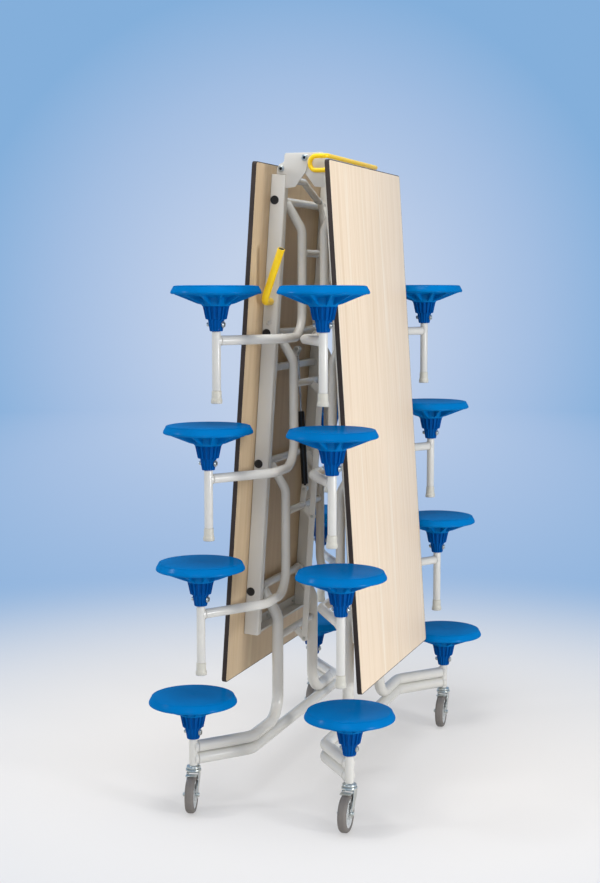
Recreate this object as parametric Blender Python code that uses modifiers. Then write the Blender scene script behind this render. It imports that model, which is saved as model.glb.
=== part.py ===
"""A folding table with sixteen stools, folded up and standing on its four casters.

Metres, +Z up. X runs along the open table and Y across it. Seen along +Y, near is -Y and far is +Y, and
left is -X and right is +X. The origin is on the floor, under the middle of the folded table.

Each half of the table is a leaf with four stool frames hung from it. Folded, the two leaves stand nearly
upright and lean together, joined at the top by a hinge at X = 0. Every stool frame stays upright while its
leaf turns, because a tie rod joins the four frames of a leaf, and a link joins each tie rod to the other
leaf. The frames furthest from the hinge stand on the casters and carry everything.

A place on a leaf is given by three lengths: down, measured along the leaf from its hinge end, depth,
measured inwards from the laminated face, and across, which is Y. A place on a stool frame is measured from
its pivot: inwards to the middle of the folded table, across and up.
"""

import math

import bmesh
import bpy
from mathutils import Matrix, Vector

LEFT, RIGHT = -1, 1
NEAR, FAR = -1, 1
SIDE_NAMES = {LEFT: "left", RIGHT: "right"}
END_NAMES = {NEAR: "near", FAR: "far"}

SEAT_GAP = 0.0003  # between two faces that rest on each other
RUNNING_GAP = 0.0004  # between two faces that slide past each other
OVERRUN = 0.004  # how far a cutter runs past what it cuts, and a welded end into its neighbour

# The two leaves.
LEAN = math.radians(3.854)
LEAF_LENGTH = 1.790
LEAF_WIDTH = 0.850
BOARD_THICKNESS = 0.016
BAND_THICKNESS = 0.003
LEAF_CORNER_RADIUS = 0.012

# The stool pivots, on the leaf.
STOOLS_PER_LEAF = 4
STOOL_PITCH = 0.4572
FIRST_PIVOT_DOWN = 0.120
PIVOT_DEPTH = 0.034

# The hinge that joins the leaves.
HINGE_DEPTH = 0.1332
HINGE_BEYOND_END = 0.0268
HINGE_AXLE_DIAMETER = 0.018
HINGE_PLATE_THICKNESS = 0.005
HINGE_BOLT_DOWN = 0.0138
HINGE_BOLT_DEPTH = 0.0507
HINGE_LOBE_WIDTH = 0.030
HINGE_NOSE_RADIUS = 0.0177
HINGE_TIP_DEPTHS = {LEFT: 0.0597, RIGHT: 0.066}
HINGE_TIP_CHAMFER = 0.005
HINGE_NECK_BEYOND = 0.0098
HINGE_NECK_DEPTH = 0.060
HINGE_TAIL_DOWN = 0.0775
HINGE_TAIL_DEPTH_SHARES = (0.59, 0.793)
HINGE_NOTCH_DOWN = 0.0198
HINGE_NOTCH_PAST = 0.007

# The arm of each hinge bracket that drives the other leaf's stools.
SYNC_TUBE_DIAMETER = 0.024
SYNC_TUBE_DOWN = 0.049
SYNC_TUBE_DEPTH = 0.0825
SYNC_BEND_ACROSS = 0.130
SYNC_BEND_RADIUS = 0.040
SYNC_PIN_IN = 0.049
SYNC_PIN_BELOW = 0.130
SYNC_LINK_THICKNESS = 0.006
SYNC_LINK_WIDTH = 0.020
SYNC_LEVER_WIDTH = 0.026

# The steel frame under each board.
RAIL_WIDTH = 0.036
RAIL_DEPTH = 0.053
RAIL_OUTER_ACROSS = 0.280
RAIL_START_DOWN = 0.033
RAIL_BELOW_LAST_PIVOT = 0.155
RAIL_EDGE_RADIUS = 0.005
END_MEMBER_WIDTH = 0.036
END_MEMBER_DEPTH = 0.049
MEMBER_LIFT = 0.001
STRUT_MEMBER_DOWN = 0.700
STRUT_MEMBER_SIZE = 0.025

# A stool frame, from its pivot.
FRAME_TUBE = 0.032
BASE_TUBE = 0.0405
AXLE_TUBE = 0.028
CROSSBAR_TUBE = 0.026
POST_TUBE = 0.029
DROP_IN = 0.068
DROP_ACROSS = 0.190
SLANT_BELOW = 0.100
SLANT_START_IN = 0.012
SLANT_START_BELOW = 0.008
SLANT_BEND_RADIUS = 0.060
FOOT_BEND_RADIUS = 0.085
ARM_BEND_RADIUS = 0.070
ARM_BEND_ACROSS = 0.400
BASE_BEND_ACROSS = 0.450
ARM_BELOW_HUB = 0.030
BASE_TUBE_SPACING = 0.0412
CROSSBAR_IN = 0.067
CROSSBAR_BELOW = 0.179
POST_OUT = 0.075
POST_ACROSS = 0.624
HUB_BELOW_PIVOT = 0.4395
FOOT_BELOW_HUB = 0.236
BASE_POST_LENGTH = 0.093
FOOT_CAP_HEIGHT = 0.042
FOOT_CAP_TOP_DIAMETER = 0.033
FOOT_CAP_BOTTOM_DIAMETER = 0.038

# The gussets and tie rods that keep the frames of a leaf parallel.
TIE_IN = 0.108
TIE_BELOW = 0.218
GUSSET_ACROSS = 0.008
GUSSET_THICKNESS = 0.006
GUSSET_WIDTH = 0.024
TIE_ROD_WIDTH = 0.022
TIE_ROD_THICKNESS = 0.006

# The gas strut, between the third left stool frame and the left leaf.
STRUT_FRAME = 3
STRUT_FOOT_IN = 0.075
STRUT_FOOT_BELOW = 0.119
STRUT_HEAD_DOWN = 0.641
STRUT_HEAD_DEPTH = 0.053
STRUT_EYE_DIAMETER = 0.022
STRUT_BODY_DIAMETER = 0.024
STRUT_BODY_START = 0.017
STRUT_BODY_LENGTH = 0.268
STRUT_ROD_DIAMETER = 0.008
STRUT_BORE_DEPTH = 0.225
STRUT_ROD_INSIDE = 0.030
STRUT_NECK_DIAMETER = 0.010
STRUT_LUG_THICKNESS = 0.005

# A seat, from the bottom of its hub.
SEAT_RADIUS = 0.1485
SEAT_HEIGHT = 0.150
SEAT_CROWN = 0.006
SEAT_RIM_HEIGHT = 0.027
SEAT_FLANGE_RADIUS = 0.047
SEAT_FLANGE_HEIGHT = 0.082
SEAT_HUB_RADIUS = 0.0195

# A caster, from the floor.
WHEEL_DIAMETER = 0.125
WHEEL_WIDTH = 0.030
WHEEL_BORE_DIAMETER = 0.011
WHEEL_HUB_WIDTH = 0.024
WHEEL_RIM_SHARE = 0.66
CASTER_HEIGHT = 0.149
CASTER_TRAIL = 0.045
SWIVEL_DIAMETER = 0.054
SWIVEL_HEIGHT = 0.020
FORK_BRIDGE_HEIGHT = 0.006
FORK_LEG_THICKNESS = 0.003
FORK_LEG_WIDTH = 0.026
FORK_CLEARANCE = 0.003
FORK_AXLE_DIAMETER = 0.010
CASTER_YAWS = {
    (LEFT, NEAR): math.radians(14),
    (LEFT, FAR): math.radians(8),
    (RIGHT, NEAR): math.radians(3),
    (RIGHT, FAR): math.radians(4),
}

# The yellow latch bail, from the hinge axis, and the yellow crank handle.
BAIL_DIAMETER = 0.016
BAIL_ACROSS = 0.292
BAIL_RUN_IN = 0.083
BAIL_RUN_ABOVE = 0.004
BAIL_HOOK_IN = 0.0235
BAIL_HOOK_HEIGHT = 0.048
BAIL_CORNER_RADIUS = 0.014
CRANK_DIAMETER = 0.025
CRANK_DOWN = 0.467
CRANK_REACH = 0.065
CRANK_RISE = 0.178
CRANK_LEAN_IN = 0.080
CRANK_LEAN_OUT = 0.045
CRANK_BEND_RADIUS = 0.030

# How finely round things are divided.
TUBE_RESOLUTION = 2
BEND_STEPS = 3
CORNER_STEPS = 3
ROUND_END_STEPS = 4
SEAT_STEPS = 16
CAP_STEPS = 10
BAR_STEPS = 8
PIN_STEPS = 12
WHEEL_STEPS = 18
SMOOTH_ANGLE = math.radians(40)

# Places that follow from the sizes above.
PIVOT_HEIGHT = CASTER_HEIGHT + BASE_POST_LENGTH + HUB_BELOW_PIVOT
LAST_PIVOT_DOWN = FIRST_PIVOT_DOWN + (STOOLS_PER_LEAF - 1) * STOOL_PITCH
HINGE_HEIGHT = (
    PIVOT_HEIGHT
    + (LAST_PIVOT_DOWN + HINGE_BEYOND_END) * math.cos(LEAN)
    - (HINGE_DEPTH - PIVOT_DEPTH) * math.sin(LEAN)
)
RAIL_INNER_ACROSS = RAIL_OUTER_ACROSS - RAIL_WIDTH
RAIL_FACE_DEPTH = BOARD_THICKNESS + SEAT_GAP + RAIL_DEPTH
RAIL_END_DOWN = LAST_PIVOT_DOWN + RAIL_BELOW_LAST_PIVOT
GUSSET_FACE = GUSSET_ACROSS + GUSSET_THICKNESS
TIE_ROD_FACE = GUSSET_FACE + RUNNING_GAP + TIE_ROD_THICKNESS
LEFT_PLATE_ACROSS = RAIL_OUTER_ACROSS - HINGE_PLATE_THICKNESS / 2
RIGHT_PLATE_ACROSS = LEFT_PLATE_ACROSS - HINGE_PLATE_THICKNESS - RUNNING_GAP
PLATE_ACROSS = {LEFT: LEFT_PLATE_ACROSS, RIGHT: RIGHT_PLATE_ACROSS}


def leaf_place(side, down, depth, across=0.0):
    """The world point at these lengths on a leaf."""
    along = down + HINGE_BEYOND_END
    inwards = depth - HINGE_DEPTH
    out = along * math.sin(LEAN) - inwards * math.cos(LEAN)
    height = HINGE_HEIGHT - along * math.cos(LEAN) - inwards * math.sin(LEAN)
    return Vector((side * out, across, height))


def pivot_place(side, number):
    """The pivot of a stool frame, numbered from 1 at the hinge end."""
    return leaf_place(side, FIRST_PIVOT_DOWN + (number - 1) * STOOL_PITCH, PIVOT_DEPTH)


def frame_place(side, number, inwards, across, up):
    """The world point at these lengths from a stool frame's pivot."""
    return pivot_place(side, number) + Vector((-side * inwards, across, up))


def hinge_place(side, inwards_from_outside, across, up):
    """The world point at these lengths from the hinge axis, out to one side."""
    return Vector((side * inwards_from_outside, across, HINGE_HEIGHT + up))


def clear_scene():
    for item in list(bpy.data.objects):
        bpy.data.objects.remove(item, do_unlink=True)


def make_collection(name, in_render=True):
    collection = bpy.data.collections.new(name)
    bpy.context.scene.collection.children.link(collection)
    collection.hide_render = not in_render
    return collection


def make_material(name, colour, roughness, metallic=0.0):
    material = bpy.data.materials.new(name)
    material.use_nodes = True
    shader = material.node_tree.nodes["Principled BSDF"]
    shader.inputs["Base Color"].default_value = (*colour, 1.0)
    shader.inputs["Roughness"].default_value = roughness
    shader.inputs["Metallic"].default_value = metallic
    return material


clear_scene()
PARTS = make_collection("folding_stool_table")
WORKSHOP = make_collection("workshop", in_render=False)
FRAME_PAINT = make_material("frame_paint", (0.70, 0.69, 0.66), 0.35)
LAMINATE = make_material("laminate", (0.89, 0.75, 0.58), 0.45)
EDGE_BAND = make_material("edge_band", (0.07, 0.06, 0.06), 0.50)
SEAT_PLASTIC = make_material("seat_plastic", (0.005, 0.13, 0.51), 0.38)
CAP_PLASTIC = make_material("cap_plastic", (0.82, 0.82, 0.79), 0.45)
HANDLE_COAT = make_material("handle_coat", (0.90, 0.62, 0.02), 0.40)
ZINC = make_material("zinc", (0.60, 0.61, 0.62), 0.35, 1.0)
STRUT_BLACK = make_material("strut_black", (0.01, 0.01, 0.01), 0.40)
CHROME = make_material("rod_chrome", (0.75, 0.75, 0.76), 0.15, 1.0)
TYRE = make_material("tyre", (0.20, 0.18, 0.17), 0.75)


def link_object(name, data, collection=None):
    item = bpy.data.objects.new(name, data)
    (collection or PARTS).objects.link(item)
    return item


def baked(item, weld=True):
    """The object with its modifiers, caps and placing worked into one mesh at the origin."""
    bpy.context.view_layer.update()
    graph = bpy.context.evaluated_depsgraph_get()
    mesh = bpy.data.meshes.new_from_object(item.evaluated_get(graph))
    mesh.transform(item.matrix_world)
    if weld:
        form = bmesh.new()
        form.from_mesh(mesh)
        bmesh.ops.remove_doubles(form, verts=form.verts, dist=SEAT_GAP / 10)
        bmesh.ops.recalc_face_normals(form, faces=form.faces)
        form.to_mesh(mesh)
        form.free()
    name = item.name
    bpy.data.objects.remove(item, do_unlink=True)
    return link_object(name, mesh, WORKSHOP)


def combined(base, others, operation):
    """The base joined to the others, or cut by them."""
    for other in others:
        modifier = base.modifiers.new(operation.lower(), "BOOLEAN")
        modifier.operation = operation
        modifier.solver = "EXACT"
        modifier.object = other
    result = baked(base, weld=False)
    for other in others:
        bpy.data.objects.remove(other, do_unlink=True)
    return result


def finished(item, name, material, axis_place):
    """Names a worked piece, gives it its material, and puts its origin on the axis that it turns about."""
    item.name = name
    mesh = item.data
    mesh.transform(Matrix.Translation(-axis_place))
    item.location = axis_place
    mesh.materials.clear()
    mesh.materials.append(material)
    mesh.shade_smooth()
    mesh.set_sharp_from_angle(angle=SMOOTH_ANGLE)
    WORKSHOP.objects.unlink(item)
    PARTS.objects.link(item)
    return item


def rounded_path(points, radii):
    """The points with each inner corner replaced by an arc of its radius."""
    path = [points[0]]
    for before, corner, after, radius in zip(points, points[1:], points[2:], radii):
        inbound = (corner - before).normalized()
        outbound = (after - corner).normalized()
        turn = inbound.angle(outbound)
        setback = radius * math.tan(turn / 2)
        start = corner - inbound * setback
        towards_centre = (outbound - inbound * inbound.dot(outbound)).normalized()
        centre = start + towards_centre * radius
        for step in range(BEND_STEPS + 1):
            angle = turn * step / BEND_STEPS
            path.append(centre + (inbound * math.sin(angle) - towards_centre * math.cos(angle)) * radius)
    path.append(points[-1])
    return path


def tube(points, diameter, radii=()):
    """A round tube along the points, its corners bent to the radii."""
    curve = bpy.data.curves.new("tube", "CURVE")
    curve.dimensions = "3D"
    curve.bevel_depth = diameter / 2
    curve.bevel_resolution = TUBE_RESOLUTION
    curve.use_fill_caps = True
    path = rounded_path(points, radii) if radii else points
    spline = curve.splines.new("POLY")
    spline.points.add(len(path) - 1)
    for point, place in zip(spline.points, path):
        point.co = (*place, 1.0)
    return baked(link_object("tube", curve, WORKSHOP))


def plate(outlines, thickness, matrix):
    """A flat plate: closed outlines in a plane, given thickness evenly both ways, then placed."""
    curve = bpy.data.curves.new("plate", "CURVE")
    curve.dimensions = "2D"
    curve.fill_mode = "BOTH"
    curve.extrude = thickness / 2
    for outline in outlines:
        spline = curve.splines.new("POLY")
        spline.points.add(len(outline) - 1)
        spline.use_cyclic_u = True
        for point, (x, y) in zip(spline.points, outline):
            point.co = (x, y, 0.0, 1.0)
    item = link_object("plate", curve, WORKSHOP)
    item.matrix_world = matrix
    return baked(item)


def upright_matrix(across):
    """Turns a plate drawn in X and Z into its place across the table."""
    return Matrix.Translation((0, across, 0)) @ Matrix.Rotation(math.pi / 2, 4, "X")


def bar_outline(start, end, width):
    """The outline of a flat bar with round ends, in the plane of its two pin places."""
    direction = math.atan2(end[1] - start[1], end[0] - start[0])
    outline = []
    for centre, first in ((end, direction - math.pi / 2), (start, direction + math.pi / 2)):
        for step in range(ROUND_END_STEPS + 1):
            angle = first + math.pi * step / ROUND_END_STEPS
            outline.append(
                (centre[0] + width / 2 * math.cos(angle), centre[1] + width / 2 * math.sin(angle))
            )
    return outline


def flat_bar(start, end, width, thickness, across):
    """A flat bar between two pin places of one plane along the table."""
    outline = bar_outline((start.x, start.z), (end.x, end.z), width)
    return plate([outline], thickness, upright_matrix(across))


def turned(profile, steps, matrix):
    """A turned shape: a profile of radii and heights, top to bottom, swept round Z and then placed."""
    mesh = bpy.data.meshes.new("turned")
    points = [(radius, 0, height) for radius, height in profile]
    edges = [(i, i + 1) for i in range(len(points) - 1)]
    if profile[0][0] > 0:
        edges.append((len(points) - 1, 0))
    mesh.from_pydata(points, edges, [])
    item = link_object("turned", mesh, WORKSHOP)
    screw = item.modifiers.new("turn", "SCREW")
    screw.steps = screw.render_steps = steps
    screw.use_merge_vertices = True
    screw.merge_threshold = SEAT_GAP / 10
    item.matrix_world = matrix
    return baked(item)


def along_matrix(start, end):
    """Turns a shape drawn along +Z so that it runs from start towards end."""
    turn = (end - start).to_track_quat("Z", "Y").to_matrix().to_4x4()
    return Matrix.Translation(start) @ turn


def rod(start, end, diameter, steps=PIN_STEPS):
    """A plain round rod between two points."""
    length = (end - start).length
    profile = ((0, length), (diameter / 2, length), (diameter / 2, 0), (0, 0))
    return turned(profile, steps, along_matrix(start, end))


def box(centre, size, turn=0.0, edge_radius=0.0):
    """A box, turned about Y, with its long edges rounded when a radius is given."""
    bpy.ops.mesh.primitive_cube_add(size=1.0, location=(0, 0, 0))
    item = bpy.context.active_object
    for collection in list(item.users_collection):
        collection.objects.unlink(item)
    WORKSHOP.objects.link(item)
    item.data.transform(Matrix.Diagonal((*size, 1.0)))
    if edge_radius:
        bevel = item.modifiers.new("round", "BEVEL")
        bevel.width = edge_radius
        bevel.segments = 2
    item.matrix_world = Matrix.Translation(centre) @ Matrix.Rotation(turn, 4, "Y")
    return baked(item)


def rounded_rectangle(half_length, half_width, radius):
    outline = []
    for quarter in range(4):
        sign_x = (1, -1, -1, 1)[quarter]
        sign_y = (1, 1, -1, -1)[quarter]
        for step in range(CORNER_STEPS + 1):
            angle = math.pi / 2 * (quarter + step / CORNER_STEPS)
            outline.append(
                (
                    sign_x * (half_length - radius) + radius * math.cos(angle),
                    sign_y * (half_width - radius) + radius * math.sin(angle),
                )
            )
    return outline


def leaf_matrix(side, down, depth):
    """Turns a shape drawn flat, its X along the leaf and its Y across, into its place on a leaf."""
    up_the_leaf = Vector((-side * math.sin(LEAN), 0, math.cos(LEAN)))
    across = Vector((0, 1, 0))
    through = up_the_leaf.cross(across)
    matrix = Matrix((up_the_leaf, across, through)).transposed().to_4x4()
    matrix.translation = leaf_place(side, down, depth)
    return matrix


def make_leaf(side):
    """The laminated board and the edge band round it."""
    name = SIDE_NAMES[side]
    hinge_line = pivot_place(side, STOOLS_PER_LEAF) if side == LEFT else hinge_place(side, 0, 0, 0)
    matrix = leaf_matrix(side, LEAF_LENGTH / 2, BOARD_THICKNESS / 2)
    outer = rounded_rectangle(LEAF_LENGTH / 2, LEAF_WIDTH / 2, LEAF_CORNER_RADIUS)
    band_inset = BAND_THICKNESS
    inner = rounded_rectangle(
        LEAF_LENGTH / 2 - band_inset, LEAF_WIDTH / 2 - band_inset, LEAF_CORNER_RADIUS - band_inset
    )
    board_inset = BAND_THICKNESS + SEAT_GAP
    core = rounded_rectangle(
        LEAF_LENGTH / 2 - board_inset, LEAF_WIDTH / 2 - board_inset, LEAF_CORNER_RADIUS - board_inset
    )
    finished(plate([core], BOARD_THICKNESS, matrix), f"board_{name}", LAMINATE, hinge_line)
    finished(plate([outer, inner], BOARD_THICKNESS, matrix), f"edge_band_{name}", EDGE_BAND, hinge_line)


def leaf_box(side, down_from, down_to, depth_size, across_from, across_to, lift=0.0, edge_radius=0.0):
    """A box on the underside of a board, or lifted off it."""
    depth = BOARD_THICKNESS + SEAT_GAP + lift + depth_size / 2
    centre = leaf_place(side, (down_from + down_to) / 2, depth, (across_from + across_to) / 2)
    size = (depth_size, across_to - across_from, down_to - down_from)
    return box(centre, size, -side * LEAN, edge_radius)


def strut_head():
    return leaf_place(LEFT, STRUT_HEAD_DOWN, STRUT_HEAD_DEPTH)


def strut_foot():
    return frame_place(LEFT, STRUT_FRAME, STRUT_FOOT_IN, 0, -STRUT_FOOT_BELOW)


def make_leaf_frame(side):
    """Two rails joined by two cross members, and on the left leaf the lugs that hold the gas strut."""
    name = SIDE_NAMES[side]
    hinge_line = pivot_place(side, STOOLS_PER_LEAF) if side == LEFT else hinge_place(side, 0, 0, 0)
    pieces = []
    for end in (NEAR, FAR):
        low, high = sorted((end * RAIL_INNER_ACROSS, end * RAIL_OUTER_ACROSS))
        pieces.append(
            leaf_box(
                side, RAIL_START_DOWN, RAIL_END_DOWN, RAIL_DEPTH, low, high, edge_radius=RAIL_EDGE_RADIUS
            )
        )
    reach = RAIL_INNER_ACROSS + OVERRUN
    member_start = RAIL_END_DOWN - END_MEMBER_WIDTH - MEMBER_LIFT
    half = STRUT_MEMBER_SIZE / 2
    for start, stop, depth in (
        (member_start, member_start + END_MEMBER_WIDTH, END_MEMBER_DEPTH),
        (STRUT_MEMBER_DOWN - half, STRUT_MEMBER_DOWN + half, STRUT_MEMBER_SIZE),
    ):
        pieces.append(leaf_box(side, start, stop, depth, -reach, reach, lift=MEMBER_LIFT))
    if side == LEFT:
        member = leaf_place(side, STRUT_MEMBER_DOWN, BOARD_THICKNESS + STRUT_MEMBER_SIZE / 2)
        lug_across = GUSSET_ACROSS + STRUT_LUG_THICKNESS / 2
        for end in (NEAR, FAR):
            pieces.append(
                flat_bar(
                    member, strut_head(), STRUT_EYE_DIAMETER, STRUT_LUG_THICKNESS, end * lug_across
                )
            )
    finished(combined(pieces[0], pieces[1:], "UNION"), f"leaf_frame_{name}", FRAME_PAINT, hinge_line)


def hinge_plate_outline(side):
    """The outline of a hinge plate, which wraps the end of its rail, with a tip and a nose round the hinge axis."""
    rail_end = RAIL_START_DOWN - SEAT_GAP
    rail_face = RAIL_FACE_DEPTH + SEAT_GAP
    lobe_edge = HINGE_BOLT_DEPTH - HINGE_LOBE_WIDTH / 2
    lobe_top = HINGE_BOLT_DOWN - HINGE_LOBE_WIDTH / 2
    places = [
        (rail_end, rail_face),
        (rail_end, lobe_edge),
        (HINGE_BOLT_DOWN, lobe_edge),
        (lobe_top, (HINGE_BOLT_DEPTH + lobe_edge) / 2),
    ]
    top, tip = HINGE_BEYOND_END + HINGE_NOSE_RADIUS, HINGE_TIP_DEPTHS[side]
    corner = tip + HINGE_TIP_CHAMFER
    level_top = (HINGE_DEPTH - corner) * math.tan(LEAN) - top
    places += [
        (-HINGE_NECK_BEYOND, HINGE_NECK_DEPTH),
        (level_top + HINGE_TIP_CHAMFER, tip),
        (level_top, corner),
    ]
    nose_angles = (math.radians(90), math.radians(135), math.radians(180), math.radians(225))
    for angle in nose_angles:
        places.append(
            (
                -HINGE_BEYOND_END - HINGE_NOSE_RADIUS * math.sin(angle),
                HINGE_DEPTH - HINGE_NOSE_RADIUS * math.cos(angle),
            )
        )
    tail_inner, tail_outer = (share * HINGE_DEPTH for share in HINGE_TAIL_DEPTH_SHARES)
    places += [
        (HINGE_NOTCH_DOWN, HINGE_DEPTH + HINGE_NOTCH_PAST),
        (HINGE_TAIL_DOWN - RAIL_EDGE_RADIUS, tail_outer),
        (HINGE_TAIL_DOWN, tail_inner),
        (HINGE_TAIL_DOWN, rail_face),
    ]
    points = [leaf_place(side, down, depth) for down, depth in places]
    return [(point.x, point.z) for point in points]


def sync_pin(side):
    """The pin, fixed to one leaf's hinge bracket, that drives the other leaf's stools."""
    return hinge_place(side, SYNC_PIN_IN, 0, -SYNC_PIN_BELOW)


def make_hinge_bracket(side):
    """Two hinge plates, the tube that joins them, and the arm or lever that carries the sync pin."""
    name = SIDE_NAMES[side]
    hinge_line = pivot_place(side, STOOLS_PER_LEAF) if side == LEFT else hinge_place(side, 0, 0, 0)
    outline = hinge_plate_outline(side)
    pieces = [
        plate([outline], HINGE_PLATE_THICKNESS, upright_matrix(end * PLATE_ACROSS[side]))
        for end in (NEAR, FAR)
    ]
    axle_reach = LEFT_PLATE_ACROSS if side == LEFT else RAIL_OUTER_ACROSS
    axis_near = hinge_place(side, 0, -axle_reach, 0)
    axis_far = hinge_place(side, 0, axle_reach, 0)
    tube_place = leaf_place(side, SYNC_TUBE_DOWN, SYNC_TUBE_DEPTH)
    plate_across = Vector((0, PLATE_ACROSS[side], 0))
    if side == LEFT:
        pieces.append(rod(axis_near, axis_far, HINGE_AXLE_DIAMETER))
        bend = tube_place - Vector((0, SYNC_BEND_ACROSS, 0))
        end = sync_pin(side) + Vector((0, TIE_ROD_FACE, 0))
        straight_end = sync_pin(side)
        pieces.append(
            tube(
                [tube_place - plate_across, bend, straight_end, end],
                SYNC_TUBE_DIAMETER,
                (SYNC_BEND_RADIUS, SYNC_LINK_WIDTH),
            )
        )
        body = combined(pieces[0], pieces[1:], "UNION")
    else:
        pieces.append(rod(tube_place - plate_across, tube_place + plate_across, SYNC_TUBE_DIAMETER))
        lever_across = TIE_ROD_FACE - TIE_ROD_THICKNESS / 2
        pieces.append(
            flat_bar(tube_place, sync_pin(side), SYNC_LEVER_WIDTH, TIE_ROD_THICKNESS, -lever_across)
        )
        body = combined(pieces[0], pieces[1:], "UNION")
        hole = rod(axis_near, axis_far, HINGE_AXLE_DIAMETER + 2 * RUNNING_GAP)
        body = combined(body, [hole], "DIFFERENCE")
    finished(body, f"hinge_bracket_{name}", FRAME_PAINT, hinge_line)


def arm_path(side, number, end):
    """The bent tube of one end of a stool frame, from its post in, up and over to its axle."""
    is_base = number == STOOLS_PER_LEAF
    arm_up = -HUB_BELOW_PIVOT - ARM_BELOW_HUB
    bend_across = BASE_BEND_ACROSS if is_base else ARM_BEND_ACROSS
    inner = OVERRUN * (POST_ACROSS - bend_across) / (POST_ACROSS - DROP_ACROSS)
    return [
        frame_place(side, number, -POST_OUT + inner, end * (POST_ACROSS - OVERRUN), arm_up),
        frame_place(side, number, DROP_IN, end * bend_across, arm_up),
        frame_place(side, number, DROP_IN, end * DROP_ACROSS, arm_up),
        frame_place(side, number, DROP_IN, end * DROP_ACROSS, -SLANT_BELOW),
        frame_place(side, number, SLANT_START_IN, end * DROP_ACROSS, -SLANT_START_BELOW),
    ]


def gusset_across(side):
    """Left gussets lie just on the near side of the middle, and right ones just on the far side."""
    return side * (GUSSET_ACROSS + GUSSET_THICKNESS / 2)


def tie_pin(side, number):
    return frame_place(side, number, TIE_IN, 0, -TIE_BELOW)


def make_stool_frame(side, number):
    """An axle, two bent arms, two posts, a crossbar and a gusset, welded together."""
    is_base = number == STOOLS_PER_LEAF
    arm_tube = BASE_TUBE if is_base else FRAME_TUBE
    axle_reach = RAIL_INNER_ACROSS - SEAT_GAP
    pieces = [
        rod(
            frame_place(side, number, 0, -axle_reach, 0),
            frame_place(side, number, 0, axle_reach, 0),
            AXLE_TUBE,
            BAR_STEPS,
        )
    ]
    radii = (ARM_BEND_RADIUS, FOOT_BEND_RADIUS, SLANT_BEND_RADIUS)
    for end in (NEAR, FAR):
        pieces.append(tube(arm_path(side, number, end), arm_tube, radii))
        post_top = frame_place(side, number, -POST_OUT, end * POST_ACROSS, -HUB_BELOW_PIVOT - SEAT_GAP)
        if is_base:
            post_length = BASE_POST_LENGTH - 2 * SEAT_GAP
        else:
            post_length = FOOT_BELOW_HUB - FOOT_CAP_HEIGHT - 2 * SEAT_GAP
        pieces.append(rod(post_top - Vector((0, 0, post_length)), post_top, POST_TUBE, BAR_STEPS))
    crossbar = frame_place(side, number, CROSSBAR_IN, 0, -CROSSBAR_BELOW)
    crossbar_reach = Vector((0, DROP_ACROSS - OVERRUN, 0))
    pieces.append(rod(crossbar - crossbar_reach, crossbar + crossbar_reach, CROSSBAR_TUBE, BAR_STEPS))
    pieces.append(
        flat_bar(crossbar, tie_pin(side, number), GUSSET_WIDTH, GUSSET_THICKNESS, gusset_across(side))
    )
    if side == LEFT and number == STRUT_FRAME:
        pieces.append(
            flat_bar(crossbar, strut_foot(), STRUT_EYE_DIAMETER, STRUT_LUG_THICKNESS, gusset_across(side))
        )
    if is_base:
        lower = -HUB_BELOW_PIVOT - ARM_BELOW_HUB - BASE_TUBE_SPACING
        stretcher = []
        for end in (NEAR, FAR):
            post = frame_place(side, number, -POST_OUT, end * (POST_ACROSS - OVERRUN), lower)
            bend = frame_place(side, number, DROP_IN, end * BASE_BEND_ACROSS, lower)
            stretcher += [post, bend] if end == NEAR else [bend, post]
        pieces.append(tube(stretcher, BASE_TUBE, (ARM_BEND_RADIUS, ARM_BEND_RADIUS)))
    name = f"base_frame_{SIDE_NAMES[side]}" if is_base else f"stool_frame_{SIDE_NAMES[side]}_{number}"
    finished(combined(pieces[0], pieces[1:], "UNION"), name, FRAME_PAINT, pivot_place(side, number))


def make_seat(side, number, end):
    """A round plastic seat on a tapering hub."""
    rim_top = SEAT_HEIGHT - SEAT_CROWN
    rim_bottom = rim_top - SEAT_RIM_HEIGHT
    profile = (
        (0, SEAT_HEIGHT),
        (0.62 * SEAT_RADIUS, SEAT_HEIGHT - 0.15 * SEAT_CROWN),
        (0.92 * SEAT_RADIUS, rim_top),
        (SEAT_RADIUS, rim_top - 0.35 * SEAT_RIM_HEIGHT),
        (0.99 * SEAT_RADIUS, rim_top - 0.70 * SEAT_RIM_HEIGHT),
        (0.93 * SEAT_RADIUS, rim_bottom),
        (SEAT_FLANGE_RADIUS, SEAT_FLANGE_HEIGHT),
        (0.88 * SEAT_FLANGE_RADIUS, 0.92 * SEAT_FLANGE_HEIGHT),
        (SEAT_HUB_RADIUS, 0),
        (0, 0),
    )
    hub = frame_place(side, number, -POST_OUT, end * POST_ACROSS, -HUB_BELOW_PIVOT)
    name = f"seat_{SIDE_NAMES[side]}_{END_NAMES[end]}_{number}"
    item = turned(profile, SEAT_STEPS, Matrix.Translation(hub))
    finished(item, name, SEAT_PLASTIC, pivot_place(side, number))


def make_foot_cap(side, number, end):
    """The plastic cap on the lower end of a post."""
    top, bottom = FOOT_CAP_TOP_DIAMETER / 2, FOOT_CAP_BOTTOM_DIAMETER / 2
    profile = (
        (0, FOOT_CAP_HEIGHT),
        (top, FOOT_CAP_HEIGHT),
        (top, 0.45 * FOOT_CAP_HEIGHT),
        (bottom, 0.25 * FOOT_CAP_HEIGHT),
        (bottom, 0),
        (0, 0),
    )
    foot = frame_place(side, number, -POST_OUT, end * POST_ACROSS, -HUB_BELOW_PIVOT - FOOT_BELOW_HUB)
    name = f"foot_cap_{SIDE_NAMES[side]}_{END_NAMES[end]}_{number}"
    item = turned(profile, CAP_STEPS, Matrix.Translation(foot))
    finished(item, name, CAP_PLASTIC, pivot_place(side, number))


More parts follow.
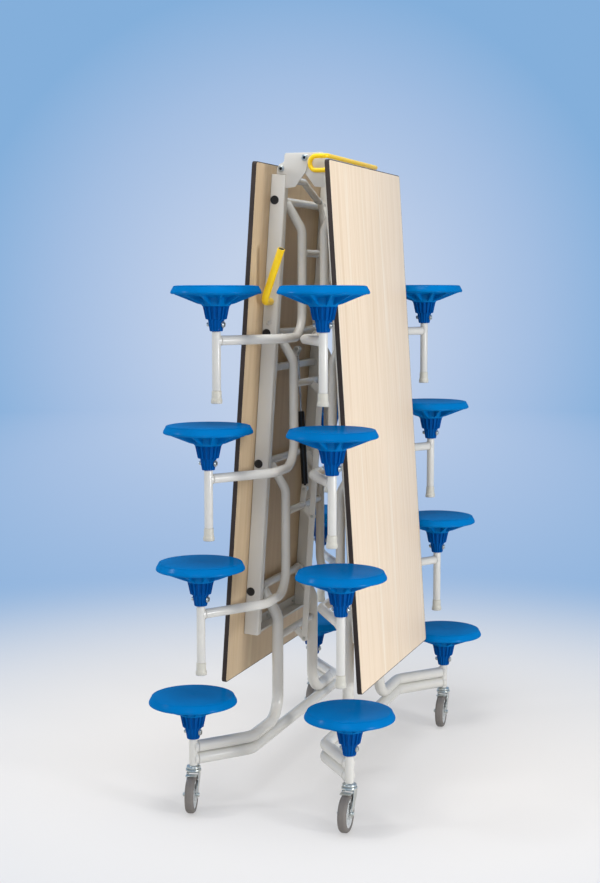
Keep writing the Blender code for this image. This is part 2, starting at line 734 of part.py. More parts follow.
def make_caster(side, end):
    """A swivel fork with its axle, and the wheel on it, trailing towards the near end."""
    post = frame_place(side, STOOLS_PER_LEAF, -POST_OUT, end * POST_ACROSS, 0)
    turn = Matrix.Translation((post.x, post.y, 0)) @ Matrix.Rotation(CASTER_YAWS[side, end], 4, "Z")
    axle_height = WHEEL_DIAMETER / 2 * math.cos(math.pi / WHEEL_STEPS)
    name = f"{SIDE_NAMES[side]}_{END_NAMES[end]}"
    leg_across = WHEEL_WIDTH / 2 + FORK_CLEARANCE + FORK_LEG_THICKNESS / 2
    head_bottom = CASTER_HEIGHT - SWIVEL_HEIGHT
    head = (
        (0, SWIVEL_HEIGHT),
        (0.80 * SWIVEL_DIAMETER / 2, SWIVEL_HEIGHT),
        (SWIVEL_DIAMETER / 2, 0.60 * SWIVEL_HEIGHT),
        (SWIVEL_DIAMETER / 2, 0),
        (0, 0),
    )
    head_matrix = turn @ Matrix.Translation((0, 0, head_bottom))
    pieces = [turned(head, CAP_STEPS, head_matrix)]
    bridge_height = FORK_BRIDGE_HEIGHT + OVERRUN / 2
    bridge = box(
        Vector((0, 0, head_bottom + OVERRUN / 2 - bridge_height / 2)),
        (2 * leg_across, FORK_LEG_WIDTH - OVERRUN, bridge_height),
    )
    bridge.data.transform(turn)
    pieces.append(bridge)
    shoulder = head_bottom - FORK_LEG_WIDTH / 2 + OVERRUN / 4
    outline = bar_outline((0, shoulder), (-CASTER_TRAIL, axle_height), FORK_LEG_WIDTH)
    on_edge = Matrix(((0, 0, 1, 0), (1, 0, 0, 0), (0, 1, 0, 0), (0, 0, 0, 1)))
    for leg_side in (LEFT, RIGHT):
        leg_matrix = turn @ Matrix.Translation((leg_side * leg_across, 0, 0)) @ on_edge
        pieces.append(plate([outline], FORK_LEG_THICKNESS, leg_matrix))
    axle_reach = leg_across + FORK_LEG_THICKNESS
    axle_ends = [turn @ Vector((x, -CASTER_TRAIL, axle_height)) for x in (-axle_reach, axle_reach)]
    pieces.append(rod(*axle_ends, FORK_AXLE_DIAMETER, BAR_STEPS))
    swivel_axis = Vector((post.x, post.y, 0))
    finished(combined(pieces[0], pieces[1:], "UNION"), f"caster_fork_{name}", ZINC, swivel_axis)

    radius, half = WHEEL_DIAMETER / 2, WHEEL_WIDTH / 2
    bore, half_hub = WHEEL_BORE_DIAMETER / 2, WHEEL_HUB_WIDTH / 2
    rim = WHEEL_RIM_SHARE * radius
    profile = (
        (bore, half_hub),
        (rim, half_hub),
        (rim, half),
        (0.92 * radius, half),
        (radius, 0.62 * half),
        (radius, -0.62 * half),
        (0.92 * radius, -half),
        (rim, -half),
        (rim, -half_hub),
        (bore, -half_hub),
    )
    centre = turn @ Vector((0, -CASTER_TRAIL, axle_height))
    flat_down = Matrix.Rotation(math.pi / WHEEL_STEPS, 4, "Z")
    wheel_matrix = turn @ Matrix.Translation((0, -CASTER_TRAIL, axle_height))
    wheel = turned(profile, WHEEL_STEPS, wheel_matrix @ Matrix.Rotation(math.pi / 2, 4, "Y") @ flat_down)
    finished(wheel, f"caster_wheel_{name}", TYRE, centre)


def make_tie_rod(side):
    """The flat rod that joins the four gussets of a leaf."""
    across = side * (TIE_ROD_FACE - TIE_ROD_THICKNESS / 2)
    item = flat_bar(
        tie_pin(side, 1), tie_pin(side, STOOLS_PER_LEAF), TIE_ROD_WIDTH, TIE_ROD_THICKNESS, across
    )
    finished(item, f"tie_rod_{SIDE_NAMES[side]}", FRAME_PAINT, tie_pin(side, STOOLS_PER_LEAF))


def make_sync_link(side):
    """The link from the other leaf's sync pin to the top of this leaf's tie rod."""
    across = side * (TIE_ROD_FACE + RUNNING_GAP + SYNC_LINK_THICKNESS / 2)
    item = flat_bar(
        sync_pin(-side), tie_pin(side, 1), SYNC_LINK_WIDTH, SYNC_LINK_THICKNESS, across
    )
    finished(item, f"sync_link_{SIDE_NAMES[side]}", FRAME_PAINT, sync_pin(-side))


def make_strut():
    """The gas strut: a black cylinder with a bore, and the bright rod that slides in it."""
    foot, head = strut_foot(), strut_head()
    length = (head - foot).length
    along = (head - foot).normalized()
    eye_half = Vector((0, GUSSET_ACROSS - RUNNING_GAP, 0))
    body_end = STRUT_BODY_START + STRUT_BODY_LENGTH
    outer, bore = STRUT_BODY_DIAMETER / 2, STRUT_ROD_DIAMETER / 2 + RUNNING_GAP
    bore_end = body_end - STRUT_BORE_DEPTH
    profile = (
        (0, bore_end),
        (bore, bore_end),
        (bore, body_end),
        (outer, body_end),
        (outer, STRUT_BODY_START),
        (STRUT_NECK_DIAMETER / 2, STRUT_BODY_START),
        (STRUT_NECK_DIAMETER / 2, 0),
        (0, 0),
    )
    shell = turned(profile, PIN_STEPS, along_matrix(foot, head))
    eye = rod(foot - eye_half, foot + eye_half, STRUT_EYE_DIAMETER)
    finished(combined(shell, [eye], "UNION"), "strut_cylinder", STRUT_BLACK, foot)
    tip = foot + along * (body_end - STRUT_ROD_INSIDE)
    shaft = rod(tip, foot + along * length, STRUT_ROD_DIAMETER, BAR_STEPS)
    top_eye = rod(head - eye_half, head + eye_half, STRUT_EYE_DIAMETER)
    finished(combined(shaft, [top_eye], "UNION"), "strut_rod", CHROME, head)


def make_latch_bail():
    """The yellow bail: a rod across the top of the right leaf, hooked over the hinge at each end."""
    pin = leaf_place(RIGHT, HINGE_BOLT_DOWN, HINGE_BOLT_DEPTH)
    plate_face = RIGHT_PLATE_ACROSS + HINGE_PLATE_THICKNESS / 2 + RUNNING_GAP
    low = BAIL_RUN_ABOVE - BAIL_HOOK_HEIGHT
    points = []
    for end in (NEAR, FAR):
        half = [
            Vector((pin.x, end * plate_face, HINGE_HEIGHT + low)),
            Vector((pin.x, end * BAIL_ACROSS, HINGE_HEIGHT + low)),
            hinge_place(RIGHT, BAIL_HOOK_IN, end * BAIL_ACROSS, low),
            hinge_place(RIGHT, BAIL_HOOK_IN, end * BAIL_ACROSS, BAIL_RUN_ABOVE),
            hinge_place(RIGHT, BAIL_RUN_IN, end * BAIL_ACROSS, BAIL_RUN_ABOVE),
        ]
        points += half if end == NEAR else half[::-1]
    hook_radius = BAIL_HOOK_HEIGHT / 2 - OVERRUN / 4
    half_radii = (BAIL_DIAMETER / 2 + RUNNING_GAP, hook_radius, hook_radius, BAIL_CORNER_RADIUS)
    radii = (*half_radii, *half_radii[::-1])
    item = tube(points, BAIL_DIAMETER, radii)
    finished(item, "latch_bail", HANDLE_COAT, Vector((pin.x, 0, HINGE_HEIGHT + low)))


def make_crank_handle():
    """The yellow handle that stands out from the side of the near left rail."""
    pin = leaf_place(LEFT, CRANK_DOWN, BOARD_THICKNESS + RAIL_DEPTH / 2)
    start = pin - Vector((0, RAIL_OUTER_ACROSS + RUNNING_GAP, 0))
    corner = start - Vector((0, CRANK_REACH, 0))
    top = corner + Vector((CRANK_LEAN_IN, -CRANK_LEAN_OUT, CRANK_RISE))
    item = tube([start, corner, top], CRANK_DIAMETER, (CRANK_BEND_RADIUS,))
    finished(item, "crank_handle", HANDLE_COAT, pin)


def main():
    for side in (LEFT, RIGHT):
        make_leaf(side)
        make_leaf_frame(side)
        make_hinge_bracket(side)
        for number in range(1, STOOLS_PER_LEAF + 1):
            make_stool_frame(side, number)
            for end in (NEAR, FAR):
                make_seat(side, number, end)
                if number < STOOLS_PER_LEAF:
                    make_foot_cap(side, number, end)
        for end in (NEAR, FAR):
            make_caster(side, end)
        make_tie_rod(side)
        make_sync_link(side)
    make_strut()
    make_latch_bail()
    make_crank_handle()


main()
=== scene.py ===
"""The looks of the folding stool table, standing folded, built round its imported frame."""

import math

import bpy
import numpy as np
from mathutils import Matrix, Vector


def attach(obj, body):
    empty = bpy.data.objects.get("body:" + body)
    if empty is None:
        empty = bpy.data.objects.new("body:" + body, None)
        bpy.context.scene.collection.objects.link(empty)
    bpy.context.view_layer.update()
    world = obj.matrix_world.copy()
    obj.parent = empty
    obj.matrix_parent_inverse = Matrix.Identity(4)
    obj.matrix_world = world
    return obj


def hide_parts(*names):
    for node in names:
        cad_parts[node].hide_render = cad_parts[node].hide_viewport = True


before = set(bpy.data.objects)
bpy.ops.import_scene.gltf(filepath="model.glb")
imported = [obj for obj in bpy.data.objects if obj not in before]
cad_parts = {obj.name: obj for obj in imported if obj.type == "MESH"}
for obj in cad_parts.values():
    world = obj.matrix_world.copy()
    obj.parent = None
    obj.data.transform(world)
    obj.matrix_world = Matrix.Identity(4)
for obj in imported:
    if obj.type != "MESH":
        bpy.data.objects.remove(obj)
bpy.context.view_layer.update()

MM = 0.001
LEFT, RIGHT = -1, 1
NEAR, FAR = -1, 1
SIDE_NAMES = {LEFT: "left", RIGHT: "right"}
END_NAMES = {NEAR: "near", FAR: "far"}
X, Y, Z = np.eye(3)

# Sizes of the frame, as the solids have them.
LEAN = math.radians(3.854)
LEAF_LENGTH, LEAF_WIDTH = 1.790, 0.850
BOARD_THICKNESS, BAND_THICKNESS, LEAF_CORNER = 0.016, 0.003, 0.012
STOOLS_PER_LEAF, STOOL_PITCH = 4, 0.4572
FIRST_PIVOT_DOWN, PIVOT_DEPTH = 0.120, 0.034
HINGE_DEPTH, HINGE_BEYOND_END = 0.1332, 0.0268
HINGE_PLATE, HINGE_AXLE = 0.005, 0.018
HINGE_BOLT_DOWN, HINGE_BOLT_DEPTH = 0.0138, 0.0507
HINGE_NOSE_RADIUS, HINGE_TIP_CHAMFER = 0.0177, 0.005
HINGE_TIP_DEPTHS = {LEFT: 0.0597, RIGHT: 0.066}
HINGE_NECK_BEYOND, HINGE_NECK_DEPTH = 0.0098, 0.060
HINGE_TAIL_DOWN, HINGE_TAIL_SHARES = 0.0775, (0.59, 0.793)
HINGE_NOTCH_DOWN, HINGE_NOTCH_PAST = 0.0198, 0.007
SYNC_TUBE, SYNC_TUBE_DOWN, SYNC_TUBE_DEPTH = 0.024, 0.049, 0.0825
SYNC_BEND_ACROSS, SYNC_BEND_RADIUS = 0.130, 0.040
SYNC_PIN_IN, SYNC_PIN_BELOW = 0.049, 0.130
RAIL_WIDTH, RAIL_DEPTH, RAIL_OUTER, RAIL_START = 0.036, 0.053, 0.280, 0.033
RAIL_BELOW_LAST_PIVOT = 0.155
END_MEMBER_WIDTH, END_MEMBER_DEPTH, END_MEMBER_WALL, END_MEMBER_HEM = 0.036, 0.049, 0.003, 0.011
STRUT_MEMBER_DOWN, STRUT_MEMBER, MEMBER_LIFT, WELD_OVERLAP = 0.700, 0.025, 0.001, 0.002
FRAME_TUBE, BASE_TUBE, AXLE_TUBE, CROSSBAR_TUBE, POST_TUBE = 0.032, 0.0405, 0.028, 0.026, 0.029
DROP_IN, DROP_ACROSS, SLANT_BELOW = 0.068, 0.190, 0.100
SLANT_START_IN, SLANT_START_BELOW = 0.012, 0.008
SLANT_BEND, FOOT_BEND, ARM_BEND = 0.060, 0.085, 0.070
ARM_BEND_ACROSS, BASE_BEND_ACROSS, ARM_BELOW_HUB, BASE_SPACING = 0.400, 0.450, 0.030, 0.0412
CROSSBAR_IN, CROSSBAR_BELOW = 0.067, 0.179
POST_OUT, POST_ACROSS, HUB_BELOW_PIVOT, FOOT_BELOW_HUB = 0.075, 0.624, 0.4395, 0.236
BASE_POST_LENGTH, FOOT_CAP_HEIGHT = 0.093, 0.042
TIE_IN, TIE_BELOW, GUSSET_ACROSS, PLATE_6 = 0.108, 0.218, 0.008, 0.006
STRUT_FOOT_IN, STRUT_FOOT_BELOW, STRUT_HEAD_DOWN, STRUT_HEAD_DEPTH = 0.075, 0.119, 0.641, 0.053
SEAT_RADIUS, SEAT_HEIGHT, SEAT_RIBS, SEAT_FINS = 0.1485, 0.150, 12, 16
CASTER_HEIGHT, CASTER_TRAIL, WHEEL_RADIUS, WHEEL_WIDTH = 0.149, 0.045, 0.0625, 0.030
CASTER_HEAD, WHEEL_SPOKES = 0.020, 5
CASTER_YAWS = {(LEFT, NEAR): 14, (LEFT, FAR): 8, (RIGHT, NEAR): 3, (RIGHT, FAR): 4}
BAIL_ROD, BAIL_ACROSS, BAIL_RUN_IN, BAIL_RUN_ABOVE = 0.016, 0.292, 0.083, 0.004
BAIL_HOOK_IN, BAIL_HOOK_HEIGHT, BAIL_CORNER = 0.0235, 0.048, 0.014
CRANK_TUBE, CRANK_DOWN, CRANK_REACH, CRANK_RISE = 0.025, 0.467, 0.065, 0.178
CRANK_LEAN_IN, CRANK_LEAN_OUT, CRANK_BEND = 0.080, 0.045, 0.030
LUG_WIDTH, LUG_THICKNESS, GUSSET_WIDTH, LEVER_WIDTH = 0.022, 0.005, 0.024, 0.026
TIE_ROD_WIDTH, SYNC_LINK_WIDTH = 0.022, 0.020
SEAT_GAP, RUNNING_GAP = 0.0003, 0.0004

# Fastenings that only this file draws. A bolt is named by the radius of its washer, and a cap screw by the
# radius of its flange and its height.
LINK_BOLT, SYNC_BOLT, SYNC_NUT, SEAT_NUT, WHEEL_BOLT = 0.006, 0.007, 0.009, 0.008, 0.0075
HINGE_SCREW, CAP_SCREW = (0.0115, 0.005), (0.0112, 0.006)
SEAT_SCREW_OUT, SEAT_SCREW_UP = 0.0240, 0.0225
MEMBER_BOLTS_ACROSS, BUTTON_DOWN = (0.060, 0.215), 0.5386
WELD_RADIUS = 0.0022

PIVOT_HEIGHT = CASTER_HEIGHT + BASE_POST_LENGTH + HUB_BELOW_PIVOT
LAST_PIVOT_DOWN = FIRST_PIVOT_DOWN + (STOOLS_PER_LEAF - 1) * STOOL_PITCH
HINGE_HEIGHT = (
    PIVOT_HEIGHT
    + (LAST_PIVOT_DOWN + HINGE_BEYOND_END) * math.cos(LEAN)
    - (HINGE_DEPTH - PIVOT_DEPTH) * math.sin(LEAN)
)
RAIL_END = LAST_PIVOT_DOWN + RAIL_BELOW_LAST_PIVOT
RAIL_INNER = RAIL_OUTER - RAIL_WIDTH
RAIL_FACE_DEPTH = BOARD_THICKNESS + SEAT_GAP + RAIL_DEPTH
TIE_ROD_FACE = GUSSET_ACROSS + 2 * PLATE_6 + RUNNING_GAP
PLATE_ACROSS = {LEFT: RAIL_OUTER - HINGE_PLATE / 2, RIGHT: RAIL_OUTER - 1.5 * HINGE_PLATE - RUNNING_GAP}
SYNC_BOLT_FACE = TIE_ROD_FACE + PLATE_6 + 0.0006
SQUARE = np.array(((1, 1), (-1, 1), (-1, -1), (1, -1)))


def leaf_place(side, down, depth, across=0.0):
    """The point at these lengths on a leaf: down it, in from its laminated face, and across."""
    along, inwards = down + HINGE_BEYOND_END, depth - HINGE_DEPTH
    out = along * math.sin(LEAN) - inwards * math.cos(LEAN)
    return np.array((side * out, across, HINGE_HEIGHT - along * math.cos(LEAN) - inwards * math.sin(LEAN)))


def leaf_axes(side):
    """Unit vectors up a leaf, across it, and out of its laminated face."""
    up = np.array((-side * math.sin(LEAN), 0, math.cos(LEAN)))
    out = np.array((side * math.cos(LEAN), 0, math.sin(LEAN)))
    return up, Y, out


def frame_place(side, number, inwards, across, up):
    """The point at these lengths from the pivot of a stool frame."""
    pivot = leaf_place(side, FIRST_PIVOT_DOWN + (number - 1) * STOOL_PITCH, PIVOT_DEPTH)
    return pivot + np.array((-side * inwards, across, up))


def hinge_place(side, out, across, up):
    """The point at these lengths from the centre hinge, out towards a leaf's own side."""
    return np.array((side * out, across, HINGE_HEIGHT + up))


def tie_pin(side, number):
    """Where a stool frame's gusset holds the tie rod."""
    return frame_place(side, number, TIE_IN, 0, -TIE_BELOW)


def sync_pin(side):
    """Where a hinge bracket holds the other side's sync link."""
    return hinge_place(side, SYNC_PIN_IN, 0, -SYNC_PIN_BELOW)


def strut_head():
    """Where the lugs of the left leaf hold the gas strut."""
    return leaf_place(LEFT, STRUT_HEAD_DOWN, STRUT_HEAD_DEPTH)


def strut_foot():
    """Where the third stool frame on the left holds the gas strut."""
    return frame_place(LEFT, 3, STRUT_FOOT_IN, 0, -STRUT_FOOT_BELOW)


def post_place(side, number, end, up=0.0):
    """The point on the axis of a stool's post, this far above the foot of its seat's hub."""
    return frame_place(side, number, -POST_OUT, end * POST_ACROSS, up - HUB_BELOW_PIVOT)


# Materials.

PORE_SHARE, PORE_DEPTH_MM = 0.14, 0.05


def linear(hex_colour):
    """An sRGB hex colour as linear red, green, blue and alpha."""
    parts = [int(hex_colour[i : i + 2], 16) / 255 for i in (1, 3, 5)]
    return (*[p / 12.92 if p <= 0.04045 else ((p + 0.055) / 1.055) ** 2.4 for p in parts], 1.0)


def node(tree, kind, links=(), **settings):
    """Adds a node. Settings name its sockets or properties, and links are (from node, socket, to socket)."""
    made = tree.nodes.new(kind)
    for key, value in settings.items():
        socket = key.replace("_", " ")
        if socket in made.inputs:
            made.inputs[socket].default_value = value
        else:
            setattr(made, key, value)
    for source, out, into in links:
        tree.links.new(source.outputs[out], made.inputs[into])
    return made


def material(name, colour, roughness, metallic=0.0, **settings):
    """A Principled material, and its tree and shader for what is added to them."""
    made = bpy.data.materials.new(name)
    made.use_nodes = True
    shader = made.node_tree.nodes["Principled BSDF"]
    values = {"Base Color": linear(colour), "Roughness": roughness, "Metallic": metallic}
    values.update({key.replace("_", " "): value for key, value in settings.items()})
    for key, value in values.items():
        shader.inputs[key].default_value = value
    return made, made.node_tree, shader


def add_bump(tree, shader, height, distance):
    """Raises the surface by a grey output, up to a distance in metres."""
    bump = node(tree, "ShaderNodeBump", [(*height, "Height")], Distance=distance, Strength=1.0)
    tree.links.new(bump.outputs["Normal"], shader.inputs["Normal"])


def place_of(tree):
    """The point on the surface in the shared frame, as a node and its output."""
    return node(tree, "ShaderNodeTexCoord"), "Object"


def ramp(tree, source, shares, colours):
    """A colour ramp between sRGB hex stops, read from a grey source."""
    made = node(tree, "ShaderNodeValToRGB", [(*source, "Fac")])
    elements = made.color_ramp.elements
    while len(elements) < len(shares):
        elements.new(0.5)
    for element, share, colour in zip(elements, shares, colours):
        element.position = share
        element.color = linear(colour)
    return made


def mottled(name, colours, roughness, grain_mm, bump_mm, spread, metallic=0.0, **settings):
    """A moulded or coated finish: soft clouds of near colours, and a fine grain on the surface. A cloud is as
    wide as the spread in metres, and it also makes the finish a little duller or glossier."""
    made, tree, shader = material(name, colours[0], roughness, metallic, **settings)
    where = place_of(tree)
    clouds = node(tree, "ShaderNodeTexNoise", [(*where, "Vector")], Scale=1 / spread, Detail=3.0)
    tone = ramp(tree, (clouds, "Fac"), (0.3, 0.7), colours)
    tree.links.new(tone.outputs["Color"], shader.inputs["Base Color"])
    grain = node(tree, "ShaderNodeTexNoise", [(*where, "Vector")], Scale=1 / (grain_mm * MM), Detail=2.0)
    add_bump(tree, shader, (grain, "Fac"), bump_mm * MM)
    glossy, dull = roughness * 0.9, roughness * 1.12
    rough = node(tree, "ShaderNodeMapRange", [(clouds, "Fac", "Value")], To_Min=glossy, To_Max=dull)
    tree.links.new(rough.outputs["Result"], shader.inputs["Roughness"])
    return made


def striped(name, side, colours, roughness, stripe_mm, streak, coat):
    """A wood decor: long straight stripes down the leaf, with fine pores in them. Both are noise that is
    drawn out along the grain, and a stripe is about as wide as one step of it."""
    made, tree, shader = material(name, colours[0], roughness, Coat_Weight=coat, Coat_Roughness=0.25)
    level = node(tree, "ShaderNodeMapping", [(*place_of(tree), "Vector")], Rotation=(0, -side * LEAN, 0))

    def streaks(finer, along, detail, rough):
        scale = (0.3, finer / (stripe_mm * MM), along)
        drawn = node(tree, "ShaderNodeMapping", [(level, "Vector", "Vector")], Scale=scale)
        link = [(drawn, "Vector", "Vector")]
        return node(tree, "ShaderNodeTexNoise", link, Scale=1.0, Detail=detail, Roughness=rough)

    bands = streaks(1, streak, 3.0, 0.55)
    pores = streaks(6, 3 * streak, 4.0, 0.6)
    both = node(tree, "ShaderNodeMix", data_type="FLOAT", Factor=PORE_SHARE)
    tree.links.new(bands.outputs["Fac"], both.inputs["A"])
    tree.links.new(pores.outputs["Fac"], both.inputs["B"])
    tone = ramp(tree, (both, "Result"), (0.32, 0.46, 0.56, 0.70), colours)
    tree.links.new(tone.outputs["Color"], shader.inputs["Base Color"])
    add_bump(tree, shader, (pores, "Fac"), PORE_DEPTH_MM * MM)
    return made


# Powder coat over steel tube: a soft sheen with a faint orange peel about 1.5 mm across.
POWDER_COAT = mottled("powder_coat_light_grey", ("#D6D5D0", "#DEDDD8"), 0.26, 1.5, 0.02, 0.25)
# Injection-moulded polypropylene: an even deep blue, its skin faintly glossy over a fine grain drawn at 1 mm.
MOULDED_SKIN = {"IOR": 1.49, "Specular_IOR_Level": 0.0, "Coat_Weight": 0.09, "Coat_Roughness": 0.20}
SEAT_BLUE = mottled(
    "moulded_polypropylene_blue", ("#006AB0", "#0071BA"), 0.36, 1.0, 0.03, 0.12, **MOULDED_SKIN
)
# The same plastic on the finned hub, in a darker blue that is painted shade for the hub under the seat.
HUB_BLUE_PAINTED_SHADE = mottled(
    "moulded_polypropylene_blue_painted_shade", ("#004E98", "#0056A2"), 0.40, 1.0, 0.03, 0.06, **MOULDED_SKIN
)
# Natural polyamide: off-white, slightly waxy.
CAP_WHITE = mottled("moulded_polyamide_white", ("#CFCCBF", "#D7D4C8"), 0.42, 1.2, 0.02, 0.05)
# Dipped vinyl: thick and smooth, with a gentle gloss.
VINYL_YELLOW = mottled("dipped_vinyl_yellow", ("#FCCF08", "#FFD714"), 0.32, 4.0, 0.05, 0.06)
# Zinc plate: bright, with a faintly cloudy passivated film.
ZINC = mottled("zinc_plated_steel", ("#B6B8B2", "#CDCFC9"), 0.32, 2.0, 0.01, 0.02, 0.8)
# Painted shade: nearly black, on the floor of a screw's socket, where the sunk socket lies in shade.
SOCKET_PAINTED_SHADE = mottled("socket_painted_shade", ("#1E2022", "#2A2C2E"), 0.55, 1.0, 0.01, 0.01, 0.6)
# ABS edging: nearly black, matt.
EDGING = mottled("abs_edging_dark", ("#38302C", "#423834"), 0.6, 1.0, 0.03, 0.08, Specular_IOR_Level=0.2)
# Thermoplastic rubber: warm grey and dull.
TREAD = mottled("thermoplastic_rubber_grey", ("#716C68", "#7B7672"), 0.68, 1.2, 0.06, 0.04)
# Polypropylene again, filled pale grey, for the wheel's rim and spokes.
WHEEL_CENTRE = mottled("moulded_polypropylene_pale_grey", ("#C4C7C8", "#CFD2D3"), 0.45, 1.2, 0.02, 0.04)
# Polyethylene: the black plugs of the rails, slightly waxy.
PLUG_BLACK = mottled("moulded_polyethylene_black", ("#161616", "#1E1E1E"), 0.45, 1.0, 0.03, 0.03)
# Baked lacquer on the strut's cylinder: black, smooth and a little glossy.
STRUT_PAINT = mottled("black_lacquer_on_steel", ("#101011", "#161617"), 0.30, 3.0, 0.01, 0.05)
# Ground and chromed steel: a mirror for the strut's rod.
HARD_CHROME = mottled("hard_chrome", ("#D6D8DA", "#DFE1E3"), 0.10, 3.0, 0.002, 0.05, 1.0)
# Melamine laminate with a pale maple decor: straight stripes 40 mm wide or so, under a satin wear layer.
MAPLE_TONES = ("#E7CFAF", "#F3DFC6", "#ECD6B9", "#F7E8D4")
# The backing sheet on the underside is a plainer, browner print.
BACKING_TONES = ("#C4AB88", "#CFB897", "#C9B190", "#D6C2A1")
MAPLE, BACKING = {}, {}
for side, name in SIDE_NAMES.items():
    MAPLE[side] = striped(f"melamine_maple_{name}", side, MAPLE_TONES, 0.46, 40, 0.8, 0.05)
for side, name in SIDE_NAMES.items():
    BACKING[side] = striped(f"melamine_backing_{name}", side, BACKING_TONES, 0.55, 60, 0.9, 0.0)


# Surfaces.


def unit(vectors):
    return vectors / np.linalg.norm(vectors, axis=-1, keepdims=True)


def circle(columns):
    """Points evenly round a unit circle."""
    angle = np.arange(columns) * 2 * math.pi / columns
    return np.stack([np.cos(angle), np.sin(angle)], axis=-1)


def square_axes(axis):
    """Two unit vectors square to an axis and to each other."""
    side = unit(np.cross(axis, X if abs(axis @ X) < 0.9 else Y))
    return side, np.cross(axis, side)


def quads(lower, upper):
    """A four-sided face between each pair of neighbours in one row and the pair above them."""
    corners = [lower, np.roll(lower, -1, axis=1), np.roll(upper, -1, axis=1), upper]
    return np.stack(corners, axis=-1).reshape(-1, 4).tolist()


class Skin:
    """Closed surfaces gathered into one mesh. Each is rows of rings, and its last column joins its first."""

    def __init__(self):
        self.points, self.faces, self.marks, self.count = [], [], [], 0

    def add(self, rows, mark=0, ends="pole", end_marks=None, row_marks=None):
        """Adds a grid of rows. Its ends are drawn to a pole or closed flat, or they join each other."""
        rows = np.asarray(rows, float)
        height, width = rows.shape[:2]
        index = np.arange(height * width).reshape(height, width)
        lower, upper = (index, np.roll(index, -1, axis=0)) if ends == "join" else (index[:-1], index[1:])
        faces = quads(lower, upper)
        points = rows.reshape(-1, 3)
        marks = [mark] * len(faces) if row_marks is None else np.repeat(row_marks, width).tolist()
        first, last = end_marks or (mark, mark)
        if ends == "pole":
            poles = np.stack([rows[0].mean(axis=0), rows[-1].mean(axis=0)])
            start, stop = len(points), len(points) + 1
            points = np.concatenate([points, poles])
            following = np.roll(np.arange(width), -1)
            faces += np.stack([np.full(width, start), index[0][following], index[0]], axis=-1).tolist()
            faces += np.stack([np.full(width, stop), index[-1], index[-1][following]], axis=-1).tolist()
            marks += [first] * width + [last] * width
        elif ends == "flat":
            faces += [index[0][::-1].tolist(), index[-1].tolist()]
            marks += [first, last]
        if self.volume(points, faces) < 0:
            faces = [face[::-1] for face in faces]
        self.faces += [[corner + self.count for corner in face] for face in faces]
        self.points.append(points)
        self.marks += marks
        self.count += len(points)
        return self

    @staticmethod
    def volume(points, faces):
        """Six times the volume inside, from a fan of triangles on each face."""
        fours = np.array([face for face in faces if len(face) == 4])
        tris = [face for face in faces if len(face) == 3]
        fans = [np.concatenate([fours[:, [0, 1, 2]], fours[:, [0, 2, 3]]])]
        if tris:
            fans.append(np.array(tris))
        for face in faces:
            if len(face) > 4:
                rest = np.array(face[1:])
                fans.append(np.stack([np.full(len(rest) - 1, face[0]), rest[:-1], rest[1:]], axis=-1))
        corners = points[np.concatenate(fans)]
        return float(np.einsum("ij,ij->", corners[:, 0], np.cross(corners[:, 1], corners[:, 2])))


SMOOTH_ANGLE = math.radians(32)


def piece(name, skin, body, finishes, replaces=()):
    """A finished piece: the skin as one mesh, riding on its body."""
    mesh = bpy.data.meshes.new(name)
    mesh.from_pydata(np.concatenate(skin.points), [], skin.faces)
    mesh.polygons.foreach_set("material_index", np.array(skin.marks, np.int32))
    for finish in finishes:
        mesh.materials.append(finish)
    mesh.shade_smooth()
    mesh.set_sharp_from_angle(angle=SMOOTH_ANGLE)
    made = bpy.data.objects.new(name, mesh)
    bpy.context.scene.collection.objects.link(made)
    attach(made, body)
    if replaces:
        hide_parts(*replaces)
    return made


def corner_arc(start, inbound, outbound, radius, turn, steps):
    """An arc that starts in the first direction and turns by an angle into the second."""
    towards = unit(outbound - inbound * (inbound @ outbound))
    angle = np.linspace(0, turn, steps)[:, None]
    return start + towards * radius + (inbound * np.sin(angle) - towards * np.cos(angle)) * radius


def rounded_path(points, radii, steps=9):
    """Corner points with each inner corner replaced by an arc of its radius."""
    points = [np.asarray(point, float) for point in points]
    path = [points[0][None]]
    for before, corner, after, radius in zip(points, points[1:], points[2:], radii):
        inbound, outbound = unit(corner - before), unit(after - corner)
        turn = math.acos(float(np.clip(inbound @ outbound, -1, 1)))
        start = corner - inbound * radius * math.tan(turn / 2)
        path.append(corner_arc(start, inbound, outbound, radius, turn, steps))
    path.append(points[-1][None])
    return np.concatenate(path)


def swept(path, section, scales=None, up=None):
    """Rings of a flat section carried square along a path, turned no more than the path turns."""
    path = np.asarray(path, float)
    steps = unit(np.diff(path, axis=0))
    along = unit(np.concatenate([steps[:1], steps[:-1] + steps[1:], steps[-1:]]))
    side = square_axes(along[0])[0] if up is None else np.asarray(up, float)
    sides = []
    for direction in along:
        side = unit(side - direction * (side @ direction))
        sides.append(side)
    sides = np.array(sides)
    others = np.cross(along, sides)
    grow = np.ones(len(path)) if scales is None else np.asarray(scales, float)
    flat = np.asarray(section, float)
    return path[:, None] + grow[:, None, None] * (
        flat[None, :, :1] * sides[:, None] + flat[None, :, 1:] * others[:, None]
    )


